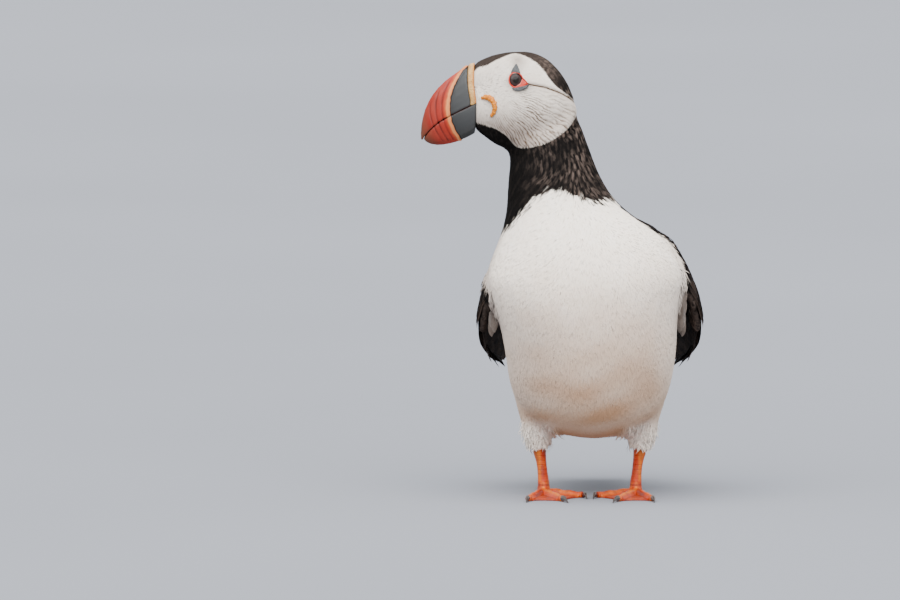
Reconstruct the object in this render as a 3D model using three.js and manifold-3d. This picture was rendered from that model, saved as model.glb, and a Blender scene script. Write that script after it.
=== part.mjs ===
// Atlantic puffin, life size, standing upright with its head turned to its right.
// Millimetres, +Z up. The bird faces -Y; its left side is +X and its right side is -X.
// The origin is the bottom centre of the whole bird's box, on the level of the soles.
import * as THREE from 'three';
import { mergeVertices } from 'three/addons/utils/BufferGeometryUtils.js';
import Module from 'manifold-3d';

// ---- driving dimensions -------------------------------------------------------------------

const GAP = 0.3;                   // clearance kept between neighbouring pieces
const TRUNK_ROWS = 23;             // rings along the trunk and neck
const TRUNK_SIDES = 24;            // points round each of them
const HEAD_ROWS = 15;
const HEAD_SIDES = 22;

// The trunk and neck, from the underside of the belly up into the head: how far the
// plumage reaches to each side, to the front and to the back at each height.
const TRUNK = [
  { z: 31.4, left: 5, right: -1, front: 2, back: 9 },
  { z: 33.6, left: 18.5, right: -15, front: -9, back: 24 },
  { z: 37.5, left: 29, right: -26, front: -20, back: 38 },
  { z: 45, left: 37.5, right: -36, front: -31, back: 51 },
  { z: 56, left: 42.5, right: -42, front: -39.5, back: 59 },
  { z: 70, left: 45.5, right: -44.5, front: -46.5, back: 61.5 },
  { z: 86, left: 47, right: -47, front: -52, back: 58.5 },
  { z: 102, left: 47.5, right: -51.5, front: -55.5, back: 52.5 },
  { z: 118, left: 51, right: -56, front: -56, back: 45 },
  { z: 131, left: 46.5, right: -52, front: -53, back: 37 },
  { z: 143, left: 36, right: -47.3, front: -47.5, back: 30 },
  { z: 152, left: 22.5, right: -45.3, front: -41.5, back: 24.5 },
  { z: 161, left: 12.5, right: -44.6, front: -36, back: 20 },
  { z: 173, left: 5.2, right: -43.6, front: -31, back: 16.5 },
  { z: 186, left: 0, right: -42.6, front: -27, back: 14 },
  { z: 200, left: -4.8, right: -40, front: -23, back: 11 },
  { z: 211, left: -12, right: -34, front: -13, back: 4 },
];

// The head is shaped in its own frame, +X to the bill and +Y to the bird's left.
const HEAD_PLACE = { x: -32, y: -5, rise: 1.2, turn: 84 };   // turned to the right, degrees
const CHEEK_FULLNESS = 0.13;       // how much wider the head is at the cheeks than the crown
const HEAD = [
  { forward: -24.4, top: 206, bottom: 200, half: 3 },
  { forward: -23, top: 213.2, bottom: 195, half: 9 },
  { forward: -19.4, top: 222, bottom: 190.5, half: 14.2 },
  { forward: -12, top: 231.8, bottom: 187, half: 18.3 },
  { forward: -3, top: 237.3, bottom: 185.5, half: 20.4 },
  { forward: 6, top: 238.4, bottom: 185, half: 20.6 },
  { forward: 14, top: 237.7, bottom: 186.2, half: 18.4 },
  { forward: 21, top: 236.2, bottom: 190, half: 14.6 },
  { forward: 27, top: 233.6, bottom: 194.8, half: 11.2 },
  { forward: 33, top: 230.6, bottom: 198.5, half: 8.6 },
];

// The bill, from the face to the tip: the ridge, the cutting edge and the half width of
// the upper part, and the cutting edge, the keel and the half width of the lower part.
const UPPER_BILL = [
  { ridgeX: 28.6, ridgeZ: 232.9, edgeX: 26, edgeZ: 213.4, half: 9 },
  { ridgeX: 33.1, ridgeZ: 231.1, edgeX: 29.6, edgeZ: 211.8, half: 8.2 },
  { ridgeX: 37.6, ridgeZ: 228.4, edgeX: 34.5, edgeZ: 209.3, half: 7.4 },
  { ridgeX: 43, ridgeZ: 225, edgeX: 40, edgeZ: 206.6, half: 6.5 },
  { ridgeX: 48.6, ridgeZ: 220.2, edgeX: 45.5, edgeZ: 203.6, half: 5.5 },
  { ridgeX: 52.8, ridgeZ: 215.2, edgeX: 49.8, edgeZ: 200.9, half: 4.6 },
  { ridgeX: 55.9, ridgeZ: 209.2, edgeX: 53.1, edgeZ: 198, half: 3.7 },
  { ridgeX: 57.8, ridgeZ: 203, edgeX: 55.6, edgeZ: 195.4, half: 2.8 },
  { ridgeX: 58.7, ridgeZ: 196.8, edgeX: 57.3, edgeZ: 193, half: 1.8 },
  { ridgeX: 58.5, ridgeZ: 191.8, edgeX: 58.1, edgeZ: 191.2, half: 0.6 },
];
const LOWER_BILL = [
  { ridgeX: 21.5, ridgeZ: 199.6, edgeX: 26, edgeZ: 213, half: 8.6 },
  { ridgeX: 26, ridgeZ: 197, edgeX: 29.6, edgeZ: 211.3, half: 7.8 },
  { ridgeX: 31.5, ridgeZ: 193.6, edgeX: 34.5, edgeZ: 208.8, half: 7 },
  { ridgeX: 37.2, ridgeZ: 190.9, edgeX: 40, edgeZ: 206.1, half: 6.1 },
  { ridgeX: 43, ridgeZ: 189.1, edgeX: 45.5, edgeZ: 203.1, half: 5.1 },
  { ridgeX: 48.2, ridgeZ: 188.4, edgeX: 49.8, edgeZ: 200.4, half: 4.2 },
  { ridgeX: 52.6, ridgeZ: 188.7, edgeX: 53.1, edgeZ: 197.5, half: 3.2 },
  { ridgeX: 55.6, ridgeZ: 189.9, edgeX: 55.4, edgeZ: 194.8, half: 2.1 },
  { ridgeX: 56.9, ridgeZ: 191.4, edgeX: 56.8, edgeZ: 192.4, half: 0.7 },
];
const BILL_ROWS = 14;
const BILL_SIDE_STEPS = 5;         // points down each side of a bill ring
const FACE_FRONT = { x: 29.8, z: 231.6, lean: 0.5 };   // plane where the feathers end
const CERE_WIDTH = 3.3;            // pale band at the root of the upper bill

const EYE = { x: 9.5, z: 222.9, radius: 6, sink: 4.8 };   // sink: centre below the face
const UPPER_PLATE = { height: 5.6, width: 5, above: 4.5 };
const LOWER_PLATE = { length: 9.4, width: 2.1, back: 2.2, below: 2.3, slope: -12 };
const PLATE_PROUD = 0.9;
const ROSETTE = {
  x: 25, z: 209.4, bend: 5.4, thick: 1.55, start: -36, sweep: 180, endTaper: 0.55,
};

// Shoulder feathers that lie over the back and the wing's upper edge, on each side.
const SCAPULARS = [
  { out: 27, y: 6, z: 146, wide: 4, deep: 5 },
  { out: 32, y: 14, z: 136, wide: 10, deep: 10 },
  { out: 33, y: 25, z: 122, wide: 12, deep: 13 },
  { out: 30, y: 37, z: 106, wide: 12, deep: 13 },
  { out: 26, y: 48, z: 90, wide: 9, deep: 9 },
  { out: 23, y: 54, z: 78, wide: 4, deep: 4 },
];
// The folded wing, from the shoulder to the tip. Each station is a point of its lower
// edge, then how wide the wing is above it as seen from the side, how far its upper edge
// leans in over the back for each millimetre of width, how far it bows out, and how thick
// it is. `out` is measured from the bird's mid-plane.
const WING = [
  { out: 41, y: -6, z: 138, width: 6, lean: 0.5, bow: 0.3, thick: 3.4 },
  { out: 46, y: -12, z: 127, width: 17, lean: 0.5, bow: 1.2, thick: 5.5 },
  { out: 52.5, y: -11.5, z: 112, width: 31, lean: 0.46, bow: 2.6, thick: 6.5 },
  { out: 57.5, y: -3, z: 98, width: 43, lean: 0.52, bow: 4.2, thick: 6.5 },
  { out: 58.6, y: 12, z: 86.5, width: 44, lean: 0.6, bow: 5, thick: 6 },
  { out: 56.4, y: 30, z: 78, width: 41, lean: 0.74, bow: 4.4, thick: 5 },
  { out: 53.2, y: 47, z: 72.5, width: 31, lean: 0.84, bow: 3, thick: 4 },
  { out: 49.6, y: 62, z: 69.3, width: 20, lean: 0.95, bow: 1.6, thick: 3 },
  { out: 46.8, y: 74, z: 67.6, width: 10.5, lean: 1, bow: 0.7, thick: 2.2 },
  { out: 45, y: 81, z: 67, width: 4, lean: 1, bow: 0.2, thick: 1.6 },
];
const WING_CHORD = { back: 0.57, up: 0.82 };       // from the lower to the upper edge
const WING_ROWS = 14;
const WING_SIDES = 10;
const COVERT_END = { y: 22, z: 100, back: 0.85, up: -0.53 };   // where long feathers begin
// Long feathers whose points break the lower outline: where each starts along the wing
// and where its point ends.
const POINTS = [
  { start: 0.36, out: 56.2, y: 33, z: 75.6, half: 5.5 },
  { start: 0.5, out: 52, y: 52, z: 69, half: 5 },
  { start: 0.62, out: 48.6, y: 69, z: 66, half: 4.5 },
  { start: 0.72, out: 45.4, y: 84.5, z: 65.6, half: 4 },
];
const POINT_THICK = 1.6;
const POINT_BOW = 0.4;             // share of the wing's bow at which a long feather begins

const TAIL = [
  { y: 44, z: 62, half: 11, thick: 5 },
  { y: 56, z: 56, half: 16, thick: 5 },
  { y: 68, z: 49.5, half: 19.5, thick: 4 },
  { y: 80, z: 43, half: 20.5, thick: 3 },
  { y: 88, z: 38.8, half: 17, thick: 2.2 },
  { y: 92.5, z: 36.5, half: 9, thick: 1.4 },
];
const TAIL_SIDES = 12;
const TAIL_ARCH = 0.008;           // drop of the tail's edges for each square of half width

const THIGH = [
  { x: 27, y: 6, z: 62, wide: 13, deep: 19 },
  { x: 27.2, y: 8, z: 50, wide: 12.5, deep: 16 },
  { x: 27.4, y: 9.5, z: 41, wide: 10.3, deep: 12 },
  { x: 27.6, y: 11, z: 34, wide: 7.4, deep: 8.4 },
  { x: 27.6, y: 12, z: 28.2, wide: 5, deep: 5.8 },
];
const TARSUS = [
  { x: 24.6, y: 10.4, z: 5.2, wide: 3.4, deep: 3.6 },
  { x: 25, y: 10.9, z: 10, wide: 2.8, deep: 3.1 },
  { x: 25.8, y: 11.4, z: 17, wide: 2.7, deep: 3.1 },
  { x: 26.9, y: 11.9, z: 23, wide: 3.5, deep: 4 },
  { x: 27.5, y: 12, z: 27.9, wide: 4.3, deep: 5 },
];
const LEG_SIDES = 12;
const LEG_ROWS = 8;

const FOOT_JOINT = { x: 24.6, y: 10 };
const JOINT = [
  { z: -0.5, wide: 3.1, deep: 3.3 },
  { z: 1.6, wide: 3.6, deep: 3.8 },
  { z: 3.6, wide: 3.5, deep: 3.7 },
  { z: 4.9, wide: 3.3, deep: 3.5 },
];
const JOINT_BACK = 0.4;
const TOES = [
  { name: 'inner', heading: 53, length: 26, claw: 7.6, clawTurn: -46 },
  { name: 'middle', heading: 15, length: 37, claw: 9.2, clawTurn: 4 },
  { name: 'outer', heading: -14, length: 35.5, claw: 7.6, clawTurn: 8 },
];
const TOE = { rootHalf: 2.5, tipHalf: 1.7, height: 4.2, tipHeight: 3.2, knuckle: 0.07 };
const WEB = { thick: 1.2, scallop: 0.84 };
const CLAW = { half: 1.6, narrow: 0.8, taper: 0.86, drop: 1.6, rise: 1.9, bend: 0.5 };

// ---- finishes -----------------------------------------------------------------------------

function finish(color, roughness) {
  return new THREE.MeshStandardMaterial({ color, roughness, metalness: 0 });
}

const FINISHES = {
  white: () => finish('#efeae4', 0.9),
  dark: () => finish('#332e2c', 0.85),
  face: () => finish('#d8d0c8', 0.9),
  leg: () => finish('#d2602c', 0.55),
  claw: () => finish('#4a484a', 0.4),
  billRed: () => finish('#c4452f', 0.4),
  cere: () => finish('#d6c193', 0.5),
  rosette: () => finish('#e0951f', 0.6),
  eye: () => finish('#2b2426', 0.1),
  plate: () => finish('#6f7478', 0.5),
};

// ---- shaping tools ------------------------------------------------------------------------

const wasm = await Module();
wasm.setup();
const RADIANS = Math.PI / 180;

// Catmull-Rom value at a place along a list of numbers, 0 at the first of them.
function splineValue(values, place) {
  const index = Math.min(Math.floor(place), values.length - 2);
  const t = place - index;
  const before = values[Math.max(index - 1, 0)];
  const start = values[index];
  const end = values[index + 1];
  const after = values[Math.min(index + 2, values.length - 1)];
  const slopeIn = (end - before) / 2;
  const slopeOut = (after - start) / 2;
  const t2 = t * t;
  const t3 = t2 * t;
  return (2 * t3 - 3 * t2 + 1) * start + (t3 - 2 * t2 + t) * slopeIn
    + (3 * t2 - 2 * t3) * end + (t3 - t2) * slopeOut;
}

// The same list of stations, drawn out smoothly to the given number of rows.
function smoothStations(stations, rows) {
  const keys = Object.keys(stations[0]);
  return Array.from({ length: rows }, (_, row) => {
    const place = row * (stations.length - 1) / (rows - 1);
    const entries = keys.map((key) => [key, splineValue(stations.map((s) => s[key]), place)]);
    return Object.fromEntries(entries);
  });
}

// A closed body through rings of equal length, each end closed to the ring's middle.
function loft(rings) {
  const count = rings[0].length;
  const positions = rings.flat().flatMap((point) => point.toArray());
  const indices = [];
  for (let row = 0; row < rings.length - 1; row += 1) {
    for (let side = 0; side < count; side += 1) {
      const here = row * count + side;
      const next = row * count + (side + 1) % count;
      indices.push(here, next, next + count, here, next + count, here + count);
    }
  }
  [0, rings.length - 1].forEach((row) => {
    const middle = new THREE.Vector3();
    rings[row].forEach((point) => middle.add(point));
    middle.divideScalar(count);
    const tip = positions.length / 3;
    positions.push(...middle.toArray());
    for (let side = 0; side < count; side += 1) {
      const here = row * count + side;
      const next = row * count + (side + 1) % count;
      indices.push(...(row === 0 ? [next, here, tip] : [here, next, tip]));
    }
  });
  const geometry = new THREE.BufferGeometry();
  geometry.setAttribute('position', new THREE.Float32BufferAttribute(positions, 3));
  geometry.setIndex(indices);
  return facingOut(geometry);
}

function facingOut(geometry) {
  const position = geometry.attributes.position;
  const index = geometry.index.array;
  const corners = [new THREE.Vector3(), new THREE.Vector3(), new THREE.Vector3()];
  let volume = 0;
  for (let i = 0; i < index.length; i += 3) {
    corners.forEach((corner, k) => corner.fromBufferAttribute(position, index[i + k]));
    volume += corners[0].dot(corners[1].clone().cross(corners[2]));
  }
  if (volume < 0) {
    for (let i = 0; i < index.length; i += 3) {
      [index[i], index[i + 1]] = [index[i + 1], index[i]];
    }
  }
  return geometry;
}

function toSolid(source) {
  const geometry = source.clone();
  Object.keys(geometry.attributes).forEach((name) => {
    if (name !== 'position') geometry.deleteAttribute(name);
  });
  const merged = mergeVertices(geometry, 1e-4);
  return new wasm.Manifold(new wasm.Mesh({
    numProp: 3,
    vertProperties: new Float32Array(merged.attributes.position.array),
    triVerts: new Uint32Array(merged.index.array),
  }));
}

function toGeometry(solid) {
  const mesh = solid.getMesh();
  const geometry = new THREE.BufferGeometry();
  geometry.setAttribute('position', new THREE.BufferAttribute(mesh.vertProperties, 3));
  geometry.setIndex(new THREE.BufferAttribute(mesh.triVerts, 1));
  geometry.computeVertexNormals();
  return geometry;
}

// Everything on the side of a plane that its normal points to, as a very large block.
function halfSpace(point, normal) {
  const reach = 400;
  const geometry = new THREE.BoxGeometry(2 * reach, 2 * reach, reach);
  geometry.translate(0, 0, reach / 2);
  const turn = new THREE.Quaternion().setFromUnitVectors(
    new THREE.Vector3(0, 0, 1), normal.clone().normalize());
  geometry.applyQuaternion(turn);
  geometry.translate(point.x, point.y, point.z);
  return toSolid(geometry);
}

// The two parts of a solid on each side of a plane, with the usual gap between them.
function part(solid, point, normal) {
  const step = normal.clone().normalize().multiplyScalar(GAP / 2);
  const above = solid.intersect(halfSpace(point.clone().add(step), normal));
  const below = solid.intersect(halfSpace(point.clone().sub(step), normal.clone().negate()));
  return [above, below];
}

function oval(count, place) {
  return Array.from({ length: count }, (_, i) => place(i * 2 * Math.PI / count));
}

const piece = (name, geometry, material) => {
  const mesh = new THREE.Mesh(geometry, material);
  mesh.name = name;
  return mesh;
};

// ---- trunk and neck -----------------------------------------------------------------------

function trunkLoft(grow) {
  const squareness = 0.93;         // below 1 the rings are a little fuller than ellipses
  const rings = smoothStations(TRUNK, TRUNK_ROWS).map((row, index) => {
    const middleX = (row.left + row.right) / 2;
    const middleY = (row.front + row.back) / 2;
    const halfX = (row.left - row.right) / 2 + grow;
    const halfY = (row.back - row.front) / 2 + grow;
    const z = row.z + (index === 0 ? -grow : 0);
    return oval(TRUNK_SIDES, (angle) => {
      const c = Math.cos(angle);
      const s = Math.sin(angle);
      return new THREE.Vector3(
        middleX + halfX * Math.sign(c) * Math.abs(c) ** squareness,
        middleY + halfY * Math.sign(s) * Math.abs(s) ** squareness,
        z,
      );
    });
  });
  return loft(rings);
}

// ---- head, in its own frame ---------------------------------------------------------------

function headLoft(grow) {
  const rings = smoothStations(HEAD, HEAD_ROWS).map((row, index) => {
    const middle = (row.top + row.bottom) / 2;
    const height = (row.top - row.bottom) / 2 + grow;
    const ends = index === 0 ? -grow : 0;
    return oval(HEAD_SIDES, (angle) => new THREE.Vector3(
      row.forward + ends,
      (row.half + grow) * Math.cos(angle) * (1 - CHEEK_FULLNESS * Math.sin(angle)),
      middle + height * Math.sin(angle),
    ));
  });
  return loft(rings);
}

function toBody(geometry) {
  const turned = geometry.clone();
  turned.rotateZ((270 - HEAD_PLACE.turn) * RADIANS);
  turned.translate(HEAD_PLACE.x, HEAD_PLACE.y, HEAD_PLACE.rise);
  return turned;
}

// How far the face stands out from the head's mid-plane at a place seen from the side.
function faceReach(x, z) {
  const rows = smoothStations(HEAD, 200);
  const row = rows.find((candidate) => candidate.forward >= x);
  const sine = (z - (row.top + row.bottom) / 2) / ((row.top - row.bottom) / 2);
  const cosine = Math.sqrt(Math.max(0, 1 - sine * sine));
  return row.half * cosine * (1 - CHEEK_FULLNESS * sine);
}

function faceNormal(side, x, z) {
  const reach = faceReach(x, z);
  const alongX = (faceReach(x + 1, z) - reach);
  const alongZ = (faceReach(x, z + 1) - reach);
  return new THREE.Vector3(-alongX, side, -alongZ).normalize();
}

function billLoft(stations) {
  const rings = smoothStations(stations, BILL_ROWS).map((row) => {
    const side = (sign) => Array.from({ length: BILL_SIDE_STEPS }, (_, i) => {
      const v = (i + 1) / BILL_SIDE_STEPS;
      const out = row.half * Math.sin(v * Math.PI / 2) ** 0.6;
      return new THREE.Vector3(
        THREE.MathUtils.lerp(row.ridgeX, row.edgeX, v),
        sign * out,
        THREE.MathUtils.lerp(row.ridgeZ, row.edgeZ, v),
      );
    });
    const ridge = new THREE.Vector3(row.ridgeX, 0, row.ridgeZ);
    return [ridge, ...side(1), ...side(-1).reverse()];
  });
  return loft(rings);
}

const faceLean = FACE_FRONT.lean * RADIANS;
const faceNormalOut = new THREE.Vector3(Math.cos(faceLean), 0, -Math.sin(faceLean));
const faceFront = new THREE.Vector3(FACE_FRONT.x, 0, FACE_FRONT.z);
const cereFront = faceFront.clone().addScaledVector(faceNormalOut, CERE_WIDTH);

function eyeCentre(side) {
  const out = faceReach(EYE.x, EYE.z) - EYE.sink;
  return new THREE.Vector3(EYE.x, side * out, EYE.z);
}

function eyeball(radius, side) {
  const centre = eyeCentre(side);
  const geometry = new THREE.SphereGeometry(radius, 14, 8);
  geometry.translate(centre.x, centre.y, centre.z);
  return geometry;
}

// A flat outline standing on the face, turned to lie along it at the place given.
function faceTile(outline, side, x, z) {
  const depth = 6;
  const geometry = new THREE.ExtrudeGeometry(outline, {
    depth, bevelEnabled: false, curveSegments: 4,
  });
  geometry.translate(0, 0, -depth + PLATE_PROUD);
  const out = faceNormal(side, x, z);
  const up = new THREE.Vector3(0, 0, 1).addScaledVector(out, -out.z).normalize();
  const along = up.clone().cross(out).normalize();
  const place = new THREE.Matrix4().makeBasis(along, up, out);
  geometry.applyMatrix4(place);
  geometry.translate(x, side * faceReach(x, z), z);
  return geometry;
}

function upperPlate(side) {
  const { height, width, above } = UPPER_PLATE;
  const outline = new THREE.Shape();
  outline.moveTo(-width / 2, 0);
  outline.quadraticCurveTo(0, height * 0.1, width / 2, 0);
  outline.quadraticCurveTo(width * 0.3, height * 0.6, 0, height);
  outline.quadraticCurveTo(-width * 0.36, height * 0.55, -width / 2, 0);
  return faceTile(outline, side, EYE.x, EYE.z + above);
}

function lowerPlate(side) {
  const { length, width, back, below, slope } = LOWER_PLATE;
  const x = EYE.x - back;
  const outline = new THREE.Shape();
  outline.moveTo(-length / 2, 0);
  outline.quadraticCurveTo(0, -width * 0.2, length / 2, width * 0.1);
  outline.quadraticCurveTo(length * 0.3, -width, 0, -width);
  outline.quadraticCurveTo(-length * 0.4, -width, -length / 2, 0);
  const geometry = faceTile(outline, side, x, EYE.z - below);
  const centre = new THREE.Vector3(x, side * faceReach(x, EYE.z), EYE.z - below);
  geometry.translate(-centre.x, -centre.y, -centre.z);
  geometry.rotateY(-slope * RADIANS);
  geometry.translate(centre.x, centre.y, centre.z);
  return geometry;
}

// The fleshy fold at the corner of the mouth: a bent roll round it, open to the bill.
function rosette(side) {
  const steps = 8;
  const reach = faceReach(ROSETTE.x, ROSETTE.z) - 0.2;
  const out = faceNormal(side, ROSETTE.x, ROSETTE.z);
  const rings = Array.from({ length: steps }, (_, i) => {
    const angle = (ROSETTE.start + ROSETTE.sweep * i / (steps - 1)) * RADIANS;
    const spoke = new THREE.Vector3(-Math.sin(angle), 0, Math.cos(angle));
    spoke.addScaledVector(out, -spoke.dot(out)).normalize();
    const fromMiddle = 2 * i / (steps - 1) - 1;
    const taper = ROSETTE.thick * (1 - ROSETTE.endTaper * fromMiddle * fromMiddle);
    const centre = new THREE.Vector3(ROSETTE.x, side * reach, ROSETTE.z)
      .addScaledVector(spoke, ROSETTE.bend);
    return oval(8, (a) => centre.clone()
      .addScaledVector(spoke, taper * Math.cos(a))
      .addScaledVector(out, taper * Math.sin(a)));
  });
  return loft(rings);
}

// ---- wings, tail, legs and feet -----------------------------------------------------------

function wingFrame(row, side) {
  const lower = new THREE.Vector3(side * row.out, row.y, row.z);
  const chord = new THREE.Vector3(-side * row.lean, WING_CHORD.back, WING_CHORD.up);
  const outward = new THREE.Vector3(side, 0, 0);
  outward.addScaledVector(chord, -outward.dot(chord) / chord.lengthSq()).normalize();
  return { lower, chord, outward };
}

function wingRing(row, side) {
  const { lower, chord, outward } = wingFrame(row, side);
  return oval(WING_SIDES, (angle) => {
    const v = 0.5 - 0.5 * Math.cos(angle);
    const bow = 4 * v * (1 - v) * row.bow;
    return lower.clone()
      .addScaledVector(chord, v * row.width)
      .addScaledVector(outward, bow + Math.sin(angle) * row.thick / 2);
  });
}

function wingLoft(side) {
  return loft(smoothStations(WING, WING_ROWS).map((row) => wingRing(row, side)));
}

// One long flight feather: a thin pointed blade from inside the wing to its own point.
function featherPoint(side, shape) {
  const rows = smoothStations(WING, 101);
  const row = rows[Math.round(100 * shape.start)];
  const { lower, chord, outward } = wingFrame(row, side);
  const start = lower.clone()
    .addScaledVector(chord, shape.half)
    .addScaledVector(outward, POINT_BOW * row.bow);
  const end = new THREE.Vector3(side * shape.out, shape.y, shape.z);
  const across = chord.clone().normalize();
  const profile = [0.8, 1, 0.98, 0.8, 0.25];
  const rings = profile.map((share, i) => {
    const middle = start.clone().lerp(end, i / (profile.length - 1));
    return oval(6, (angle) => middle.clone()
      .addScaledVector(across, Math.cos(angle) * share * shape.half)
      .addScaledVector(outward, Math.sin(angle) * (0.5 + 0.5 * share) * POINT_THICK / 2));
  });
  return loft(rings);
}

function scapularLoft(side, grow) {
  return loft(smoothStations(SCAPULARS, 8).map((row) => oval(10, (angle) => (
    new THREE.Vector3(
      side * row.out + (row.wide + grow) * Math.cos(angle),
      row.y + (row.deep + grow) * WING_CHORD.up * Math.sin(angle),
      row.z + (row.deep + grow) * WING_CHORD.back * Math.sin(angle),
    )))));
}

function tailLoft() {
  const rings = smoothStations(TAIL, 9).map((row) => oval(TAIL_SIDES, (angle) => {
    const across = Math.cos(angle) * row.half;
    const arch = TAIL_ARCH * across * across;
    return new THREE.Vector3(across, row.y, row.z - arch + Math.sin(angle) * row.thick / 2);
  }));
  return loft(rings);
}

function limbLoft(stations, side) {
  return loft(smoothStations(stations, LEG_ROWS).map((row) => oval(LEG_SIDES, (angle) => (
    new THREE.Vector3(
      side * row.x + row.wide * Math.cos(angle),
      row.y + row.deep * Math.sin(angle),
      row.z,
    )))));
}

// Toe directions in the foot's own frame, +X to the bird's middle and +Y forward.
function toeTip(toe, reach) {
  const heading = toe.heading * RADIANS;
  return new THREE.Vector2(Math.sin(heading) * reach, Math.cos(heading) * reach);
}

function webGeometry() {
  const heel = 2.2;
  const outline = new THREE.Shape();
  const tips = TOES.map((toe) => toeTip(toe, toe.length - 1.2));
  outline.moveTo(0.5, -heel);
  outline.lineTo(tips[0].x, tips[0].y);
  [1, 2].forEach((i) => {
    const dip = tips[i - 1].clone().add(tips[i]).multiplyScalar(0.5 * WEB.scallop);
    outline.quadraticCurveTo(dip.x, dip.y, tips[i].x, tips[i].y);
  });
  outline.lineTo(-1.5, -heel);
  outline.closePath();
  return new THREE.ExtrudeGeometry(outline, {
    depth: WEB.thick, bevelEnabled: false, curveSegments: 4,
  });
}

function toeGeometry(toe) {
  const steps = 7;
  const knuckles = 3;
  const rings = Array.from({ length: steps }, (_, i) => {
    const t = i / (steps - 1);
    const knuckle = 1 + TOE.knuckle * Math.cos(2 * Math.PI * knuckles * t);
    const half = THREE.MathUtils.lerp(TOE.rootHalf, TOE.tipHalf, t) * knuckle;
    const height = THREE.MathUtils.lerp(TOE.height, TOE.tipHeight, t) * knuckle;
    const middle = toeTip(toe, toe.length * t);
    const across = new THREE.Vector2(middle.y, -middle.x).normalize();
    if (i === 0) across.set(Math.cos(toe.heading * RADIANS), -Math.sin(toe.heading * RADIANS));
    return oval(8, (angle) => new THREE.Vector3(
      middle.x + across.x * half * Math.cos(angle),
      middle.y + across.y * half * Math.cos(angle),
      height * 0.46 + height * 0.54 * Math.sin(angle),
    ));
  });
  return loft(rings);
}

function footGeometry() {
  const joint = loft(JOINT.map((row) => oval(LEG_SIDES, (angle) => new THREE.Vector3(
    row.wide * Math.cos(angle),
    row.deep * Math.sin(angle) - JOINT_BACK,
    row.z,
  ))));
  const whole = TOES.map((toe) => toSolid(toeGeometry(toe)))
    .reduce((sum, toe) => sum.add(toe), toSolid(webGeometry()).add(toSolid(joint)));
  const floor = new THREE.Vector3(0, 0, 0);
  return toGeometry(whole.intersect(halfSpace(floor, new THREE.Vector3(0, 0, 1))));
}

// A claw curves forward and down from the end of its toe, in the toe's own direction +Y.
function clawGeometry(length) {
  const steps = 5;
  const rings = Array.from({ length: steps }, (_, i) => {
    const t = i / (steps - 1);
    const half = CLAW.half * (1 - CLAW.taper * t);
    const z = CLAW.rise + CLAW.bend * Math.sin(t * Math.PI) - CLAW.drop * t * t;
    return oval(6, (angle) => new THREE.Vector3(
      half * CLAW.narrow * Math.cos(angle), length * t, z + half * Math.sin(angle)));
  });
  return loft(rings);
}

// ---- flesh, parted where a person would name it --------------------------------------------

const Y = new THREE.Vector3(0, 1, 0);
const Z = new THREE.Vector3(0, 0, 1);

const headSolid = toSolid(toBody(headLoft(0)));
const sockets = [1, -1].map((side) => toSolid(toBody(eyeball(EYE.radius + GAP, side))));
const faceEnd = toSolid(toBody(toGeometry(halfSpace(faceFront, faceNormalOut))));
const headOnly = sockets.reduce((sum, socket) => sum.subtract(socket), headSolid)
  .subtract(faceEnd);
const SIDES = [['left', 1], ['right', -1]];

function feathered(grow) {
  return SIDES.map(([, side]) => toSolid(scapularLoft(side, grow)))
    .reduce((sum, tuft) => sum.add(tuft), toSolid(trunkLoft(grow)));
}

const whole = feathered(0).add(headOnly);
const NAPE = new THREE.Vector3(-25, 0, 190);
const CHEEK_SLOPE = new THREE.Vector3(-0.28, 0, 1);
const [head, belowHead] = part(whole, NAPE, CHEEK_SLOPE);
const [neck, torso] = part(belowHead, new THREE.Vector3(0, 0, 157), Z);
const [upperTorso, lowerTorso] = part(torso, new THREE.Vector3(0, 0, 88), Z);
const [back, breast] = part(upperTorso, new THREE.Vector3(0, 2, 0), Y);
const [rump, belly] = part(lowerTorso, new THREE.Vector3(0, 22, 0), Y);
const trunkWithGap = feathered(GAP);
const headWithGap = toSolid(headLoft(GAP));

const bird = new THREE.Group();
bird.add(
  piece('head', toGeometry(head), FINISHES.face()),
  piece('neck', toGeometry(neck), FINISHES.dark()),
  piece('breast', toGeometry(breast), FINISHES.white()),
  piece('back', toGeometry(back), FINISHES.dark()),
  piece('belly', toGeometry(belly), FINISHES.white()),
  piece('rump', toGeometry(rump), FINISHES.dark()),
);

// Tail, clear of the rump.
const tail = toSolid(tailLoft()).subtract(trunkWithGap);
bird.add(piece('tail', toGeometry(tail), FINISHES.dark()));

// Wings: the feathered arm, and the long feathers behind it.
SIDES.forEach(([sideName, side]) => {
  const wing = POINTS.map((shape) => toSolid(featherPoint(side, shape)))
    .reduce((sum, blade) => sum.add(blade), toSolid(wingLoft(side)))
    .subtract(trunkWithGap);
  const boundary = new THREE.Vector3(0, COVERT_END.y, COVERT_END.z);
  const towardsArm = new THREE.Vector3(0, -COVERT_END.back, -COVERT_END.up);
  const [arm, feathers] = part(wing, boundary, towardsArm);
  bird.add(piece(`wing_${sideName}`, toGeometry(arm), FINISHES.dark()));
  bird.add(piece(`flight_feathers_${sideName}`, toGeometry(feathers), FINISHES.dark()));
});

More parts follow.
